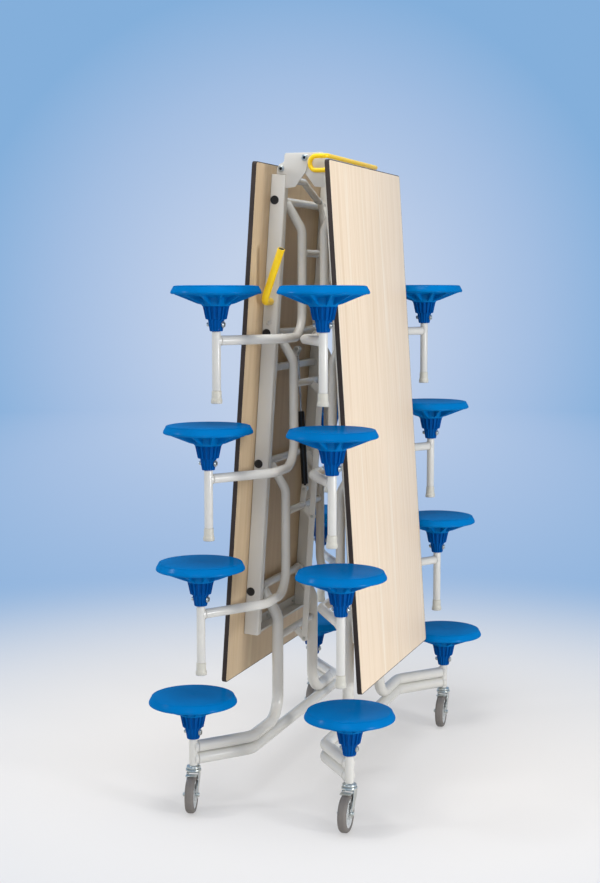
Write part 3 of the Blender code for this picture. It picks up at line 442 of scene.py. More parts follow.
def bar_rows(path, radius, edge=0.0015, columns=24, mouth=None):
    """A round bar or tube along a path, its end edges rounded; a mouth is (wall, depth) at the last end."""
    path = np.asarray(path, float)
    first, last = unit(path[1] - path[0]), unit(path[-1] - path[-2])
    arc = np.linspace(0, math.pi / 2, 4)
    lead_scales = radius - edge + edge * np.sin(arc)
    lead = path[0] + first * (edge * (1 - np.cos(arc)))[:, None]
    trail_scales = radius - edge + edge * np.cos(arc)
    trail = path[-1] - last * (edge * (1 - np.sin(arc)))[:, None]
    points = np.concatenate([lead, path[1:-1], trail])
    scales = np.concatenate([lead_scales, np.full(len(path) - 2, radius), trail_scales])
    rows = swept(points, circle(columns), scales)
    if mouth:
        wall, depth = mouth
        inner = rows[-1].mean(axis=0) + (rows[-1] - rows[-1].mean(axis=0)) * (radius - wall) / (radius - edge)
        rows = np.concatenate([rows, inner[None], inner[None] - last * depth])
    return rows


def rod_rows(start, end, radius, edge=0.001, columns=24):
    """A straight round bar between two points."""
    return bar_rows(np.stack([start, end]), radius, edge, columns)


def turned_rows(profile, columns, place=(0, 0, 0), axis=Z, reach=None):
    """A profile of radii and heights swept round an axis. Reach, a function of radius, height and angle, may
    change the radius and height of each point."""
    profile = np.asarray(profile, float)
    angle = np.arange(columns) * 2 * math.pi / columns
    radius = profile[:, :1] * np.ones(columns)
    height = profile[:, 1:2] * np.ones(columns)
    if reach is not None:
        radius, height = reach(radius, height, angle)
    axis = unit(np.asarray(axis, float))
    side, other = square_axes(axis)
    around = np.cos(angle)[:, None] * side + np.sin(angle)[:, None] * other
    return np.asarray(place, float) + radius[..., None] * around + height[..., None] * axis


def smooth_profile(points, radii, steps=5):
    """A profile of flat points with its corners rounded."""
    solid = [(*point, 0.0) for point in points]
    return rounded_path(solid, radii, steps)[:, :2]


def inset(outline, amount):
    """A closed outline moved inwards by an amount, along the mitre of its two edges at each point."""
    before = unit(outline - np.roll(outline, 1, axis=0))
    after = unit(np.roll(outline, -1, axis=0) - outline)
    both = before + after
    mitre = unit(np.stack([-both[:, 1], both[:, 0]], axis=-1))
    square = np.stack([-before[:, 1], before[:, 0]], axis=-1)
    cosine = np.clip(np.einsum("ij,ij->i", mitre, square), 0.4, 1)
    return outline + mitre * (amount / cosine)[:, None]


def anticlockwise(outline):
    """The outline, turned round if its signed area is negative."""
    following = np.roll(outline, -1, axis=0)
    area = np.sum(outline[:, 0] * following[:, 1] - outline[:, 1] * following[:, 0])
    return outline if area > 0 else outline[::-1]


def rounded_ends(half, edge, steps=4):
    """How far a section is drawn in, and where it stands, along a length whose ends are quarter rounds."""
    arc = np.linspace(0, math.pi / 2, steps)
    outer, inner = edge * (1 - np.sin(arc)), edge * (1 - np.cos(arc))
    return np.concatenate([outer, inner]), np.concatenate([inner - half, half - outer])


def level_ring(outline, amount, height):
    """An outline drawn in by an amount, at a height."""
    ring = inset(outline, amount)
    return np.concatenate([ring, np.full((len(ring), 1), height)], axis=1)


def slab_rows(outline, thickness, edge, place):
    """A flat plate: its outline carried through its thickness, both edges rounded. Place, a function, maps
    the flat drawing to its place."""
    outline = anticlockwise(np.asarray(outline, float))
    levels = zip(*rounded_ends(thickness / 2, edge))
    return np.array([place(level_ring(outline, amount, height)) for amount, height in levels])


def upright(across):
    """Maps a plate drawn in X and Z to its place across the table."""
    return lambda flat: np.stack([flat[:, 0], across + flat[:, 2], flat[:, 1]], axis=-1)


def filleted(points, radii, steps=5):
    """A closed outline with each corner rounded to its radius, or to what its two sides leave room for."""
    points = np.asarray(points, float)
    corners = zip(
        np.roll(points, 1, axis=0), points, np.roll(points, -1, axis=0), np.broadcast_to(radii, len(points))
    )
    outline = []
    for before, corner, after, radius in corners:
        inbound, outbound = unit(corner - before), unit(after - corner)
        turn = math.acos(float(np.clip(inbound @ outbound, -1, 1)))
        if radius <= 0 or turn < 0.02:
            outline.append(corner[None])
            continue
        room = 0.49 * min(np.linalg.norm(corner - before), np.linalg.norm(after - corner))
        reach = min(radius * math.tan(turn / 2), room)
        radius = reach / math.tan(turn / 2)
        outline.append(corner_arc(corner - inbound * reach, inbound, outbound, radius, turn, steps))
    return np.concatenate(outline)


def capsule(start, end, width):
    """The outline of a flat bar: a half circle round each end."""
    start, end = np.asarray(start, float), np.asarray(end, float)
    angle = math.atan2(*(end - start)[::-1]) + np.linspace(-math.pi / 2, math.pi / 2, 12)
    around = width / 2 * np.stack([np.cos(angle), np.sin(angle)], axis=-1)
    return np.concatenate([end + around, start - around])


def flat_bar_rows(start, end, width, thickness, across):
    """An upright flat bar with round ends, from one pin to another."""
    return slab_rows(capsule(start[[0, 2]], end[[0, 2]], width), thickness, 0.0012, upright(across))


def box_rows(centre, axes, size, edge):
    """A bar of rounded square section: a filleted rectangle carried along the first axis, its ends drawn
    in."""
    length, width, depth = size
    section = filleted(SQUARE * (width / 2, depth / 2), edge)
    along, across, through = axes
    rows = []
    for amount, place in zip(*rounded_ends(length / 2, 0.0015)):
        ring = inset(section, amount)
        rows.append(centre + along * place + ring[:, :1] * across + ring[:, 1:] * through)
    return np.array(rows)


def bolt(skin, place, axis, size, nut=False):
    """A hexagon head or nut on a washer: a six-sided ring with chamfered corners, turned about its axis. The
    radius at an angle is that of the flat it crosses, and no more than a round chamfer leaves."""
    axis = unit(np.asarray(axis, float))
    place = np.asarray(place, float)
    thick = 0.18 * size
    washer = [(0.95 * size, 0), (0.98 * size, 0.3 * thick), (0.98 * size, 0.7 * thick), (0.93 * size, thick)]
    skin.add(turned_rows(washer, 28, place, axis))
    side, other = square_axes(axis)
    angle = np.arange(48) * 2 * math.pi / 48
    around = np.cos(angle)[:, None] * side + np.sin(angle)[:, None] * other
    flats = 0.8125 * size / np.cos((angle + math.pi / 6) % (math.pi / 3) - math.pi / 6)
    height = (0.8 if nut else 0.66) * size
    rows = []
    for share, limit in ((0, 0.90), (0.12, 1.1), (0.82, 1.1), (1.0, 0.93)):
        radius = np.minimum(flats, 0.86 * size * limit)
        rows.append(place + radius[:, None] * around + axis * (thick + share * height))
    skin.add(rows)
    if nut:
        low, high = thick + 0.9 * height, thick + 1.25 * height
        skin.add(rod_rows(place + axis * low, place + axis * high, 0.5 * size, 0.1 * size, 20))


def socket_screw(skin, place, axis, size, height):
    """A cap screw on its flange: a turned head with a socket sunk in its top, the socket's floor painted dark
    as shade.
    """
    flange = 0.16 * size
    outline = [(size, 0), (size, 0.7 * flange), (0.94 * size, flange), (0.80 * size, flange)]
    outline += [(0.78 * size, 0.8 * height), (0.68 * size, height), (0.48 * size, height)]
    outline += [(0.44 * size, 0.55 * height)]
    # The socket's floor, the last pole, takes the second finish: painted shade.
    skin.add(turned_rows(outline, 40, place, axis), end_marks=(0, 1))


def bead(centre, axis, radius):
    """A weld bead: a small ring of round section about an axis."""
    return turned_rows(np.array((radius, 0)) + WELD_RADIUS * circle(10), 28, centre, axis)


# Boards.


def leaf_board(side):
    """A board with its laminate and its backing sheet, and its dark edging as a band carried round it."""
    name, body = SIDE_NAMES[side], f"{SIDE_NAMES[side]}_leaf"
    up, across, out = leaf_axes(side)
    centre = leaf_place(side, LEAF_LENGTH / 2, BOARD_THICKNESS / 2)

    def on_leaf(flat):
        return centre + flat[:, :1] * up + flat[:, 1:2] * across + flat[:, 2:] * out

    def rectangle(margin):
        corners = SQUARE * (LEAF_LENGTH / 2 - margin, LEAF_WIDTH / 2 - margin)
        return filleted(corners, LEAF_CORNER - margin, 9)

    rows = slab_rows(rectangle(BAND_THICKNESS), BOARD_THICKNESS, 0.0003, on_leaf)
    board = Skin().add(rows, 0, "flat", end_marks=(1, 0))
    piece(f"tabletop_{name}", board, body, [MAPLE[side], BACKING[side]], [f"board_{name}"])

    outline = anticlockwise(rectangle(0))
    half = BOARD_THICKNESS / 2
    insets, heights = rounded_ends(half, 0.0018, 5)
    insets = np.concatenate([[BAND_THICKNESS], insets, [BAND_THICKNESS]])
    heights = np.concatenate([[-half], heights, [half]])
    rows = [on_leaf(level_ring(outline, amount, height)) for amount, height in zip(insets, heights)]
    piece(f"edging_{name}", Skin().add(rows, ends="join"), body, [EDGING], [f"edge_band_{name}"])


def leaf_rails(side):
    """The two rails and two cross members under a board, with plugs and bolts. A rail is a rounded square
    tube, and the end member is an angle with a hem, drawn as a flat outline carried across the leaf."""
    name, body = SIDE_NAMES[side], f"{SIDE_NAMES[side]}_leaf"
    up, across, out = leaf_axes(side)
    steel, plugs, screws = Skin(), Skin(), Skin()
    rail_middle = (RAIL_START + RAIL_END) / 2
    rail_depth = BOARD_THICKNESS + SEAT_GAP + RAIL_DEPTH / 2
    rail_size = (RAIL_END - RAIL_START, RAIL_WIDTH, RAIL_DEPTH)
    plug = [(0.0152, -0.002), (0.0152, 0.0014), (0.0120, 0.0018), (0.0108, 0.0008), (0.004, 0.0008)]
    plug = smooth_profile(plug, [0.0006, 0.0005, 0.0005])
    button = [(0.0110, 0), (0.0110, 0.0012), (0.0102, 0.0018), (0.0076, 0.0036), (0.0052, 0.0044)]
    button += [(0.0044, 0.0012)]
    for end in (NEAR, FAR):
        centre = leaf_place(side, rail_middle, rail_depth, end * (RAIL_OUTER - RAIL_WIDTH / 2))
        steel.add(box_rows(centre, (up, across, out), rail_size, 0.005), 0, "flat")
        for number in range(STOOLS_PER_LEAF):
            down = FIRST_PIVOT_DOWN + number * STOOL_PITCH
            place = leaf_place(side, down, PIVOT_DEPTH, end * RAIL_OUTER)
            plugs.add(turned_rows(plug, 36, place, end * Y))
        place = leaf_place(side, BUTTON_DOWN, rail_depth - 0.003, end * (RAIL_OUTER - 0.0004))
        steel.add(turned_rows(button, 36, place, end * Y))

    width, depth, wall, hem = END_MEMBER_WIDTH, END_MEMBER_DEPTH, END_MEMBER_WALL, END_MEMBER_HEM
    member_depth = BOARD_THICKNESS + SEAT_GAP + MEMBER_LIFT
    member_length = 2 * (RAIL_INNER + WELD_OVERLAP)
    start = leaf_place(side, RAIL_END - width - MEMBER_LIFT, member_depth)
    angle = [(0, 0), (width, 0), (width, depth), (width - hem, depth), (width - hem, depth - wall)]
    angle += [(width - wall, depth - wall), (width - wall, wall), (0, wall)]

    def along_member(flat):
        return start - flat[:, :1] * up - flat[:, 1:2] * out + flat[:, 2:] * across

    angle = filleted(angle, [0.0005, 0.005, 0.005, 0.001, 0.001, 0.002, 0.002, 0.001])
    steel.add(slab_rows(angle, member_length, 0.0004, along_member), 0, "flat")
    for end in (NEAR, FAR):
        for reach in MEMBER_BOLTS_ACROSS:
            bolt(screws, along_member(np.array([[0.4 * width, wall, end * reach]]))[0], -out, LINK_BOLT)
    centre = leaf_place(side, STRUT_MEMBER_DOWN, member_depth + STRUT_MEMBER / 2)
    member_size = (member_length, STRUT_MEMBER, STRUT_MEMBER)
    steel.add(box_rows(centre, (across, up, out), member_size, 0.003), 0, "flat")
    if side == LEFT:
        root, head = leaf_place(side, STRUT_MEMBER_DOWN, BOARD_THICKNESS + STRUT_MEMBER / 2), strut_head()
        for end in (NEAR, FAR):
            lug_across = end * (GUSSET_ACROSS + LUG_THICKNESS / 2)
            steel.add(flat_bar_rows(root, head, LUG_WIDTH, LUG_THICKNESS, lug_across), 0, "flat")
            face = head + end * Y * (GUSSET_ACROSS + LUG_THICKNESS)
            bolt(screws, face, end * Y, LINK_BOLT, nut=end == FAR)
    piece(f"rails_{name}", steel, body, [POWDER_COAT], [f"leaf_frame_{name}"])
    piece(f"rail_plugs_{name}", plugs, body, [PLUG_BLACK])
    piece(f"rail_screws_{name}", screws, body, [ZINC])


# The centre hinge.


def hinge_outline(side):
    """The outline of a hinge plate, wrapped round its rail's end and clear of the other leaf's plate."""
    rail_end, rail_face = RAIL_START - SEAT_GAP, RAIL_FACE_DEPTH + SEAT_GAP
    lobe = HINGE_BOLT_DEPTH - 0.015
    top, tip = HINGE_BEYOND_END + HINGE_NOSE_RADIUS, HINGE_TIP_DEPTHS[side]
    level_top = (HINGE_DEPTH - tip - HINGE_TIP_CHAMFER) * math.tan(LEAN) - top

    def about_hinge(radius, degrees):
        angle = math.radians(degrees)
        return (-HINGE_BEYOND_END - radius * math.sin(angle), HINGE_DEPTH - radius * math.cos(angle))

    corners = [
        ((rail_end, rail_face), 0),
        ((rail_end, lobe), 0.004),
        ((HINGE_BOLT_DOWN, lobe), 0.010),
        ((HINGE_BOLT_DOWN - 0.015, HINGE_BOLT_DEPTH - 0.0075), 0.008),
        ((-HINGE_NECK_BEYOND, HINGE_NECK_DEPTH), 0.010),
        ((level_top + HINGE_TIP_CHAMFER, tip), 0.004),
        ((level_top, tip + HINGE_TIP_CHAMFER), 0.004),
        (about_hinge(HINGE_NOSE_RADIUS, 90), 0.012),
        (about_hinge(HINGE_NOSE_RADIUS, 135), 0.010),
        (about_hinge(HINGE_NOSE_RADIUS, 180), 0.010),
        (about_hinge(HINGE_NOSE_RADIUS, 225), 0.010),
        ((HINGE_NOTCH_DOWN, HINGE_DEPTH + HINGE_NOTCH_PAST), 0.010),
        ((HINGE_TAIL_DOWN - 0.005, HINGE_TAIL_SHARES[1] * HINGE_DEPTH), 0.006),
        ((HINGE_TAIL_DOWN, HINGE_TAIL_SHARES[0] * HINGE_DEPTH), 0.006),
        ((HINGE_TAIL_DOWN, rail_face), 0.004),
    ]
    flat = np.array([leaf_place(side, *lengths)[[0, 2]] for lengths, _ in corners])
    return filleted(flat, [radius for _, radius in corners])


def hinge_bracket(side):
    """Two plates, a cross tube and the arm or lever for the sync pin, with the hinge bolts. On the left the
    cross tube bends down to the pin, and on the right it is straight and carries a flat lever."""
    name, body = SIDE_NAMES[side], f"{SIDE_NAMES[side]}_leaf"
    steel, screws = Skin(), Skin()
    tube_place = leaf_place(side, SYNC_TUBE_DOWN, SYNC_TUBE_DEPTH)
    plate_across = PLATE_ACROSS[side]
    inner_face, outer_face = plate_across - HINGE_PLATE / 2, plate_across + HINGE_PLATE / 2
    for end in (NEAR, FAR):
        steel.add(slab_rows(hinge_outline(side), HINGE_PLATE, 0.0012, upright(end * plate_across)), 0, "flat")
        if side == LEFT:
            place = leaf_place(side, HINGE_BOLT_DOWN, HINGE_BOLT_DEPTH, end * outer_face)
            socket_screw(screws, place, end * Y, *HINGE_SCREW)
        steel.add(bead(tube_place + end * Y * inner_face, Y, SYNC_TUBE / 2 + 0.001))
    reach = Y * (plate_across - 0.001)
    pin = sync_pin(side)
    if side == LEFT:
        axle = hinge_place(side, 0, 0, 0)
        steel.add(rod_rows(axle - reach, axle + reach, HINGE_AXLE / 2))
        for end in (NEAR, FAR):
            socket_screw(screws, axle + end * Y * RAIL_OUTER, end * Y, *CAP_SCREW)
        bend = tube_place - Y * SYNC_BEND_ACROSS
        path = [tube_place - reach, bend, pin, pin + Y * TIE_ROD_FACE]
        steel.add(bar_rows(rounded_path(path, [SYNC_BEND_RADIUS, 0.020]), SYNC_TUBE / 2))
        bolt(screws, pin - Y * (SYNC_TUBE / 2 - 0.002), -Y, SYNC_NUT, nut=True)
        bolt(screws, pin + Y * SYNC_BOLT_FACE, Y, SYNC_BOLT, nut=True)
    else:
        steel.add(rod_rows(tube_place - reach, tube_place + reach, SYNC_TUBE / 2))
        lever_across = -(TIE_ROD_FACE - PLATE_6 / 2)
        steel.add(flat_bar_rows(tube_place, pin, LEVER_WIDTH, PLATE_6, lever_across), 0, "flat")
        bolt(screws, pin - Y * SYNC_BOLT_FACE, -Y, SYNC_BOLT, nut=True)
        bolt(screws, pin - Y * (TIE_ROD_FACE - PLATE_6), Y, SYNC_BOLT)
    piece(f"hinge_{name}", steel, body, [POWDER_COAT], [f"hinge_bracket_{name}"])
    piece(f"hinge_bolts_{name}", screws, body, [ZINC, SOCKET_PAINTED_SHADE])


# Stool frames and seats.


def stool_body(side, number):
    """The body of a stool frame. The lowest one is the base that the leaf stands on."""
    return f"{SIDE_NAMES[side]}_base" if number == STOOLS_PER_LEAF else f"{SIDE_NAMES[side]}_stools_{number}"


def arm_path(side, number, end):
    """An arm's path, from its post in, round the inner bend, up the drop tube and out to the axle."""
    base = number == STOOLS_PER_LEAF
    up = -HUB_BELOW_PIVOT - ARM_BELOW_HUB
    bend_across = BASE_BEND_ACROSS if base else ARM_BEND_ACROSS
    corners = [
        frame_place(side, number, -POST_OUT, end * POST_ACROSS, up),
        frame_place(side, number, DROP_IN, end * bend_across, up),
        frame_place(side, number, DROP_IN, end * DROP_ACROSS, up),
        frame_place(side, number, DROP_IN, end * DROP_ACROSS, -SLANT_BELOW),
        frame_place(side, number, SLANT_START_IN, end * DROP_ACROSS, -SLANT_START_BELOW),
    ]
    return corners, rounded_path(corners, (ARM_BEND, FOOT_BEND, SLANT_BEND), 12)


def arm_weld(end, bend, radius):
    """The bead where an arm leaves its post."""
    inwards = unit(bend - end)
    return bead(end + inwards * (POST_TUBE / 2 - 0.001), inwards, radius + 0.0004)


def stool_frame(side, number):
    """A stool frame's tubes and plates with their welds, and the bolts that hold its tie rod. The lowest
    frame has a second tube, from post to post under its arms."""
    base = number == STOOLS_PER_LEAF
    name, body = f"{SIDE_NAMES[side]}_{number}", stool_body(side, number)
    steel, screws = Skin(), Skin()
    radius = (BASE_TUBE if base else FRAME_TUBE) / 2
    axle = frame_place(side, number, 0, 0, 0)
    axle_half = Y * (RAIL_INNER - SEAT_GAP)
    steel.add(rod_rows(axle - axle_half, axle + axle_half, AXLE_TUBE / 2))
    crossbar = frame_place(side, number, CROSSBAR_IN, 0, -CROSSBAR_BELOW)
    steel.add(rod_rows(crossbar - Y * DROP_ACROSS, crossbar + Y * DROP_ACROSS, CROSSBAR_TUBE / 2))
    post_length = BASE_POST_LENGTH if base else FOOT_BELOW_HUB - FOOT_CAP_HEIGHT
    for end in (NEAR, FAR):
        corners, path = arm_path(side, number, end)
        steel.add(bar_rows(path, radius))
        steel.add(bead(crossbar + end * Y * (DROP_ACROSS - radius + 0.001), Y, CROSSBAR_TUBE / 2 + 0.0008))
        steel.add(bead(axle + end * Y * (DROP_ACROSS + radius - 0.001), Y, AXLE_TUBE / 2 + 0.0008))
        post_top = post_place(side, number, end, -SEAT_GAP)
        steel.add(rod_rows(post_top - Z * (post_length - 2 * SEAT_GAP), post_top, POST_TUBE / 2))
        steel.add(arm_weld(corners[0], corners[1], radius))
    if base:
        lower = -HUB_BELOW_PIVOT - ARM_BELOW_HUB - BASE_SPACING
        near_end, far_end = (
            frame_place(side, number, -POST_OUT, end * POST_ACROSS, lower) for end in (NEAR, FAR)
        )
        near_bend, far_bend = (
            frame_place(side, number, DROP_IN, end * BASE_BEND_ACROSS, lower) for end in (NEAR, FAR)
        )
        path = rounded_path([near_end, near_bend, far_bend, far_end], (ARM_BEND, ARM_BEND), 12)
        steel.add(bar_rows(path, radius))
        steel.add(arm_weld(near_end, near_bend, radius))
        steel.add(arm_weld(far_end, far_bend, radius))
    across = side * (GUSSET_ACROSS + PLATE_6 / 2)
    pin = tie_pin(side, number)
    steel.add(flat_bar_rows(crossbar, pin, GUSSET_WIDTH, PLATE_6, across), 0, "flat")
    if side == LEFT and number == 3:
        steel.add(flat_bar_rows(crossbar, strut_foot(), LUG_WIDTH, LUG_THICKNESS, across), 0, "flat")
        bolt(screws, strut_foot() - Y * (GUSSET_ACROSS + PLATE_6), -Y, LINK_BOLT)
    bolt(screws, pin + side * Y * GUSSET_ACROSS, -side * Y, LINK_BOLT)
    outer = TIE_ROD_FACE + (PLATE_6 + RUNNING_GAP if number == 1 else 0) + 0.0004
    bolt(screws, pin + side * Y * outer, side * Y, LINK_BOLT, nut=True)
    for end in (NEAR, FAR):
        hub = post_place(side, number, end)
        bolt(screws, hub - X * SEAT_SCREW_OUT + Z * SEAT_SCREW_UP, -X, SEAT_NUT, nut=True)
        socket_screw(screws, hub + X * SEAT_SCREW_OUT + Z * SEAT_SCREW_UP, X, *CAP_SCREW)
    stands_for = f"base_frame_{SIDE_NAMES[side]}" if base else f"stool_frame_{name}"
    piece(f"stool_tubes_{name}", steel, body, [POWDER_COAT], [stands_for])
    piece(f"stool_bolts_{name}", screws, body, [ZINC, SOCKET_PAINTED_SHADE])


def pulse(angle, count, width):
    """A smooth tooth, from 0 to 1, at each of a number of even angles. Its width is a share of a step."""
    from_tooth = np.abs((angle * count / (2 * math.pi) + 0.5) % 1 - 0.5)
    ease = np.clip(1.5 - from_tooth / width, 0, 1)
    return ease**2 * (3 - 2 * ease)


def seat_rows():
    """A seat about its hub, as one turned skin: a flat top with a small dimple, a rim that widens downwards,
    an underside that rises between twelve ribs, and a tapering hub that is drawn in between sixteen fins."""
    top = SEAT_HEIGHT
    rim = [(0.0005, top - 0.0008), (0.0045, top - 0.0008), (0.0060, top), (0.0600, top - 0.0002)]
    rim += [(0.1050, top - 0.0005), (0.1340, top - 0.0014), (0.1386, top - 0.0034), (0.1478, top - 0.0200)]
    rim += [(SEAT_RADIUS, top - 0.0240), (0.1480, top - 0.0268), (0.1440, top - 0.0290)]
    rim += [(0.1400, top - 0.0285), (0.1380, top - 0.0255)]
    rim = smooth_profile(rim, [0.002, 0.002, 0.5, 0.2, 0.03, 0.006, 0.02, 0.004, 0.0015, 0.002, 0.0015])
    under = [(0.1362, 0.1212), (0.1345, 0.1192), (0.120, 0.1134), (0.100, 0.1054), (0.080, 0.0974)]
    under += [(0.062, 0.0902)]
    lip = [(0.0520, 0.0876), (0.0485, 0.0866), (0.0472, 0.0852), (0.0464, 0.0832), (0.0448, 0.0822)]
    hub = [(0.0440, 0.0800), (0.0412, 0.0680), (0.0384, 0.0540), (0.0358, 0.0420), (0.0344, 0.0398)]
    foot = [(0.0272, 0.0380), (0.0252, 0.0240), (0.0232, 0.0110), (0.0220, 0.0030), (0.0205, 0.0004)]
    foot += [(0.0150, 0.0)]
    profile = np.concatenate([rim, under, lip, hub, foot])
    wall = len(rim)
    fins = wall + len(under) + len(lip)
    neck = fins + len(hub)
    rib_zone, fin_zone = 0.1350, len(profile) - 2

    def reach(radius, height, angle):
        row = np.arange(len(profile))[:, None]
        share = np.clip((rib_zone - radius) / 0.012, 0, 1) * np.clip((radius - 0.0500) / 0.006, 0, 1)
        pocket = 1 - pulse(angle, SEAT_RIBS, 0.075)[None]
        rise = 0.004 + 0.019 * (rib_zone - radius) / 0.085
        groove = 1 - pulse(angle + math.pi / SEAT_FINS, SEAT_FINS, 0.15)[None]
        depth = np.where(row < neck, 0.0068, 0.0026) * (row >= fins) * (row < fin_zone)
        return radius - groove * depth, height + (row >= wall) * share * pocket * rise

    # The hub's rows take the second finish, whose darker blue is painted shade.
    marks = (np.arange(1, len(profile)) >= fins).astype(int)
    return turned_rows(profile, 5 * SEAT_RIBS * SEAT_FINS // 4, reach=reach), marks


SEAT, SEAT_MARKS = seat_rows()


def seat(side, number, end):
    """One seat: the shared skin moved to its post, the fins and foot of the hub in the darker blue of painted
    shade.
    """
    name = f"{SIDE_NAMES[side]}_{END_NAMES[end]}_{number}"
    skin = Skin().add(SEAT + post_place(side, number, end), end_marks=(0, 1), row_marks=SEAT_MARKS)
    finishes = [SEAT_BLUE, HUB_BLUE_PAINTED_SHADE]
    piece(f"stool_seat_{name}", skin, stool_body(side, number), finishes, [f"seat_{name}"])


def foot_cap(side, number, end):
    """A cap turned about its post, straight at first and flared at its foot."""
    name = f"{SIDE_NAMES[side]}_{END_NAMES[end]}_{number}"
    body = stool_body(side, number)
    outline = [(0.005, FOOT_CAP_HEIGHT), (0.0160, FOOT_CAP_HEIGHT), (0.0163, 0.030), (0.0165, 0.019)]
    outline += [(0.0188, 0.011), (0.0190, 0.0), (0.004, 0.0)]
    outline = smooth_profile(outline, [0.0015, 0.01, 0.008, 0.008, 0.0025])
    skin = Skin().add(turned_rows(outline, 36, post_place(side, number, end, -FOOT_BELOW_HUB)))
    piece(f"stool_foot_{name}", skin, body, [CAP_WHITE], [f"foot_cap_{name}"])


# Casters.


def caster_axes(side, end):
    """Unit vectors across a caster's wheel and along the way that it rolls."""
    yaw = math.radians(CASTER_YAWS[side, end])
    return np.array((math.cos(yaw), math.sin(yaw), 0)), np.array((-math.sin(yaw), math.cos(yaw), 0))


def caster_fork(name, swivel, axle, across, along):
    """A swivel head turned about its post, a crown bent over the wheel, and two legs, each a flat outline
    that narrows from the crown to an eye round the axle."""
    fork = Skin()
    head, axle_height = CASTER_HEIGHT - CASTER_HEAD, axle[2]
    cup = [(0.004, CASTER_HEAD), (0.0150, CASTER_HEAD), (0.0160, 0.0185), (0.0225, 0.0180), (0.0238, 0.0150)]
    cup += [(0.0238, 0.0118), (0.0205, 0.0108), (0.0205, 0.0092), (0.0255, 0.0082), (0.0262, 0.0060)]
    cup += [(0.0262, 0.0010), (0.0240, 0.0), (0.004, 0.0)]
    radii = [0.001, 0.0006, 0.001, 0.0012, 0.001, 0.0008, 0.0006, 0.0008, 0.0012, 0.001, 0.001]
    fork.add(turned_rows(smooth_profile(cup, radii), 48, swivel + Z * head))
    leg_across = WHEEL_WIDTH / 2 + 0.003 + 0.0015
    bridge_size = (2 * leg_across + 0.002, 0.030, 0.004)
    fork.add(box_rows(swivel + Z * (head - 0.002), (across, along, Z), bridge_size, 0.0015), 0, "flat")
    turn = np.linspace(math.radians(34), math.radians(100), 12)
    spokes = np.cos(turn)[:, None] * along + np.sin(turn)[:, None] * Z
    crown = filleted(SQUARE * (leg_across - 0.001, 0.0012), 0.0006)
    fork.add(swept(axle + (WHEEL_RADIUS + 0.0030) * spokes, crown, up=across), 0, "flat")

    def leg_place(offset):
        return lambda flat: swivel + flat[:, :1] * along + flat[:, 1:2] * Z + (flat[:, 2:] + offset) * across

    shoulder, eye, trail = 0.0195, 0.0125, -CASTER_TRAIL
    leg = [(-shoulder, head - 0.001), (shoulder, head - 0.001), (shoulder, head - 0.020)]
    leg += [(trail + eye * 1.5, axle_height - 0.002), (trail + eye * 0.6, axle_height - eye * 1.1)]
    leg += [(trail - eye * 0.6, axle_height - eye * 1.1), (trail - eye * 1.2, axle_height + 0.001)]
    leg += [(-shoulder - 0.004, head - 0.022)]
    leg = filleted(leg, [0.002, 0.004, 0.012, 0.008, 0.008, 0.008, 0.012, 0.010])
    for face in (-1, 1):
        fork.add(slab_rows(leg, 0.0026, 0.0008, leg_place(face * leg_across)), 0, "flat")
        bolt(fork, axle + face * across * (leg_across + 0.0012), face * across, WHEEL_BOLT, nut=face < 0)
    fork.add(rod_rows(axle - across * leg_across, axle + across * leg_across, 0.005))
    piece(f"fork_{name}", fork, f"caster_{name}", [ZINC], [f"caster_fork_{name}"])


def caster_wheel(name, axle, across, along):
    """A tread and a dished centre, each a profile joined to itself and turned about the axle, and five spokes
    on each face."""
    wheel = Skin()
    half, tread = WHEEL_WIDTH / 2, axle[2]
    tyre = [(0.0455, 0.0), (0.0455, half - 0.0025), (0.0490, half), (0.0563, half - 0.0004), (tread, 0.0080)]
    tyre += [(tread, -0.0080), (0.0563, -half + 0.0004), (0.0490, -half), (0.0455, -half + 0.0025)]
    tyre += [(0.0455, -0.0001)]
    tyre = smooth_profile(tyre, [0.001, 0.002, 0.006, 0.008, 0.008, 0.006, 0.002, 0.001], 7)
    wheel.add(turned_rows(tyre, 96, axle, across), 0, "join")
    dish = [(0.0052, 0.0035), (0.0120, 0.0035), (0.0130, 0.0080), (0.0330, 0.0090), (0.0360, 0.0030)]
    dish += [(0.0462, 0.0026)]
    centre = [(radius, half - deep) for radius, deep in dish]
    centre += [(radius, -half + deep) for radius, deep in dish[::-1]]
    centre = smooth_profile(centre, [0.001, 0.002, 0.002, 0.001, 0.001, 0.001, 0.001, 0.002, 0.002, 0.001])
    wheel.add(turned_rows(centre, 72, axle, across), 1, "join")
    for face in (-1, 1):
        for spoke in range(WHEEL_SPOKES):
            angle = spoke * 2 * math.pi / WHEEL_SPOKES
            outwards = math.cos(angle) * Z + math.sin(angle) * along
            axes = (outwards, np.cross(across, outwards), across)
            middle = axle + outwards * 0.0230 + face * across * (half - 0.0078)
            wheel.add(box_rows(middle, axes, (0.024, 0.0045, 0.006), 0.0012), 1, "flat")
    finishes = [TREAD, WHEEL_CENTRE]
    piece(f"wheel_{name}_tread", wheel, f"wheel_{name}", finishes, [f"caster_wheel_{name}"])


def caster(side, end):
    """A caster under its post, its wheel trailing behind the swivel and standing on the floor."""
    name = f"{SIDE_NAMES[side]}_{END_NAMES[end]}"
    across, along = caster_axes(side, end)
    swivel = frame_place(side, STOOLS_PER_LEAF, -POST_OUT, end * POST_ACROSS, 0) * (1, 1, 0)
    axle = swivel - along * CASTER_TRAIL + Z * (WHEEL_RADIUS * math.cos(math.pi / 18))
    caster_fork(name, swivel, axle, across, along)
    caster_wheel(name, axle, across, along)


# Linkage.


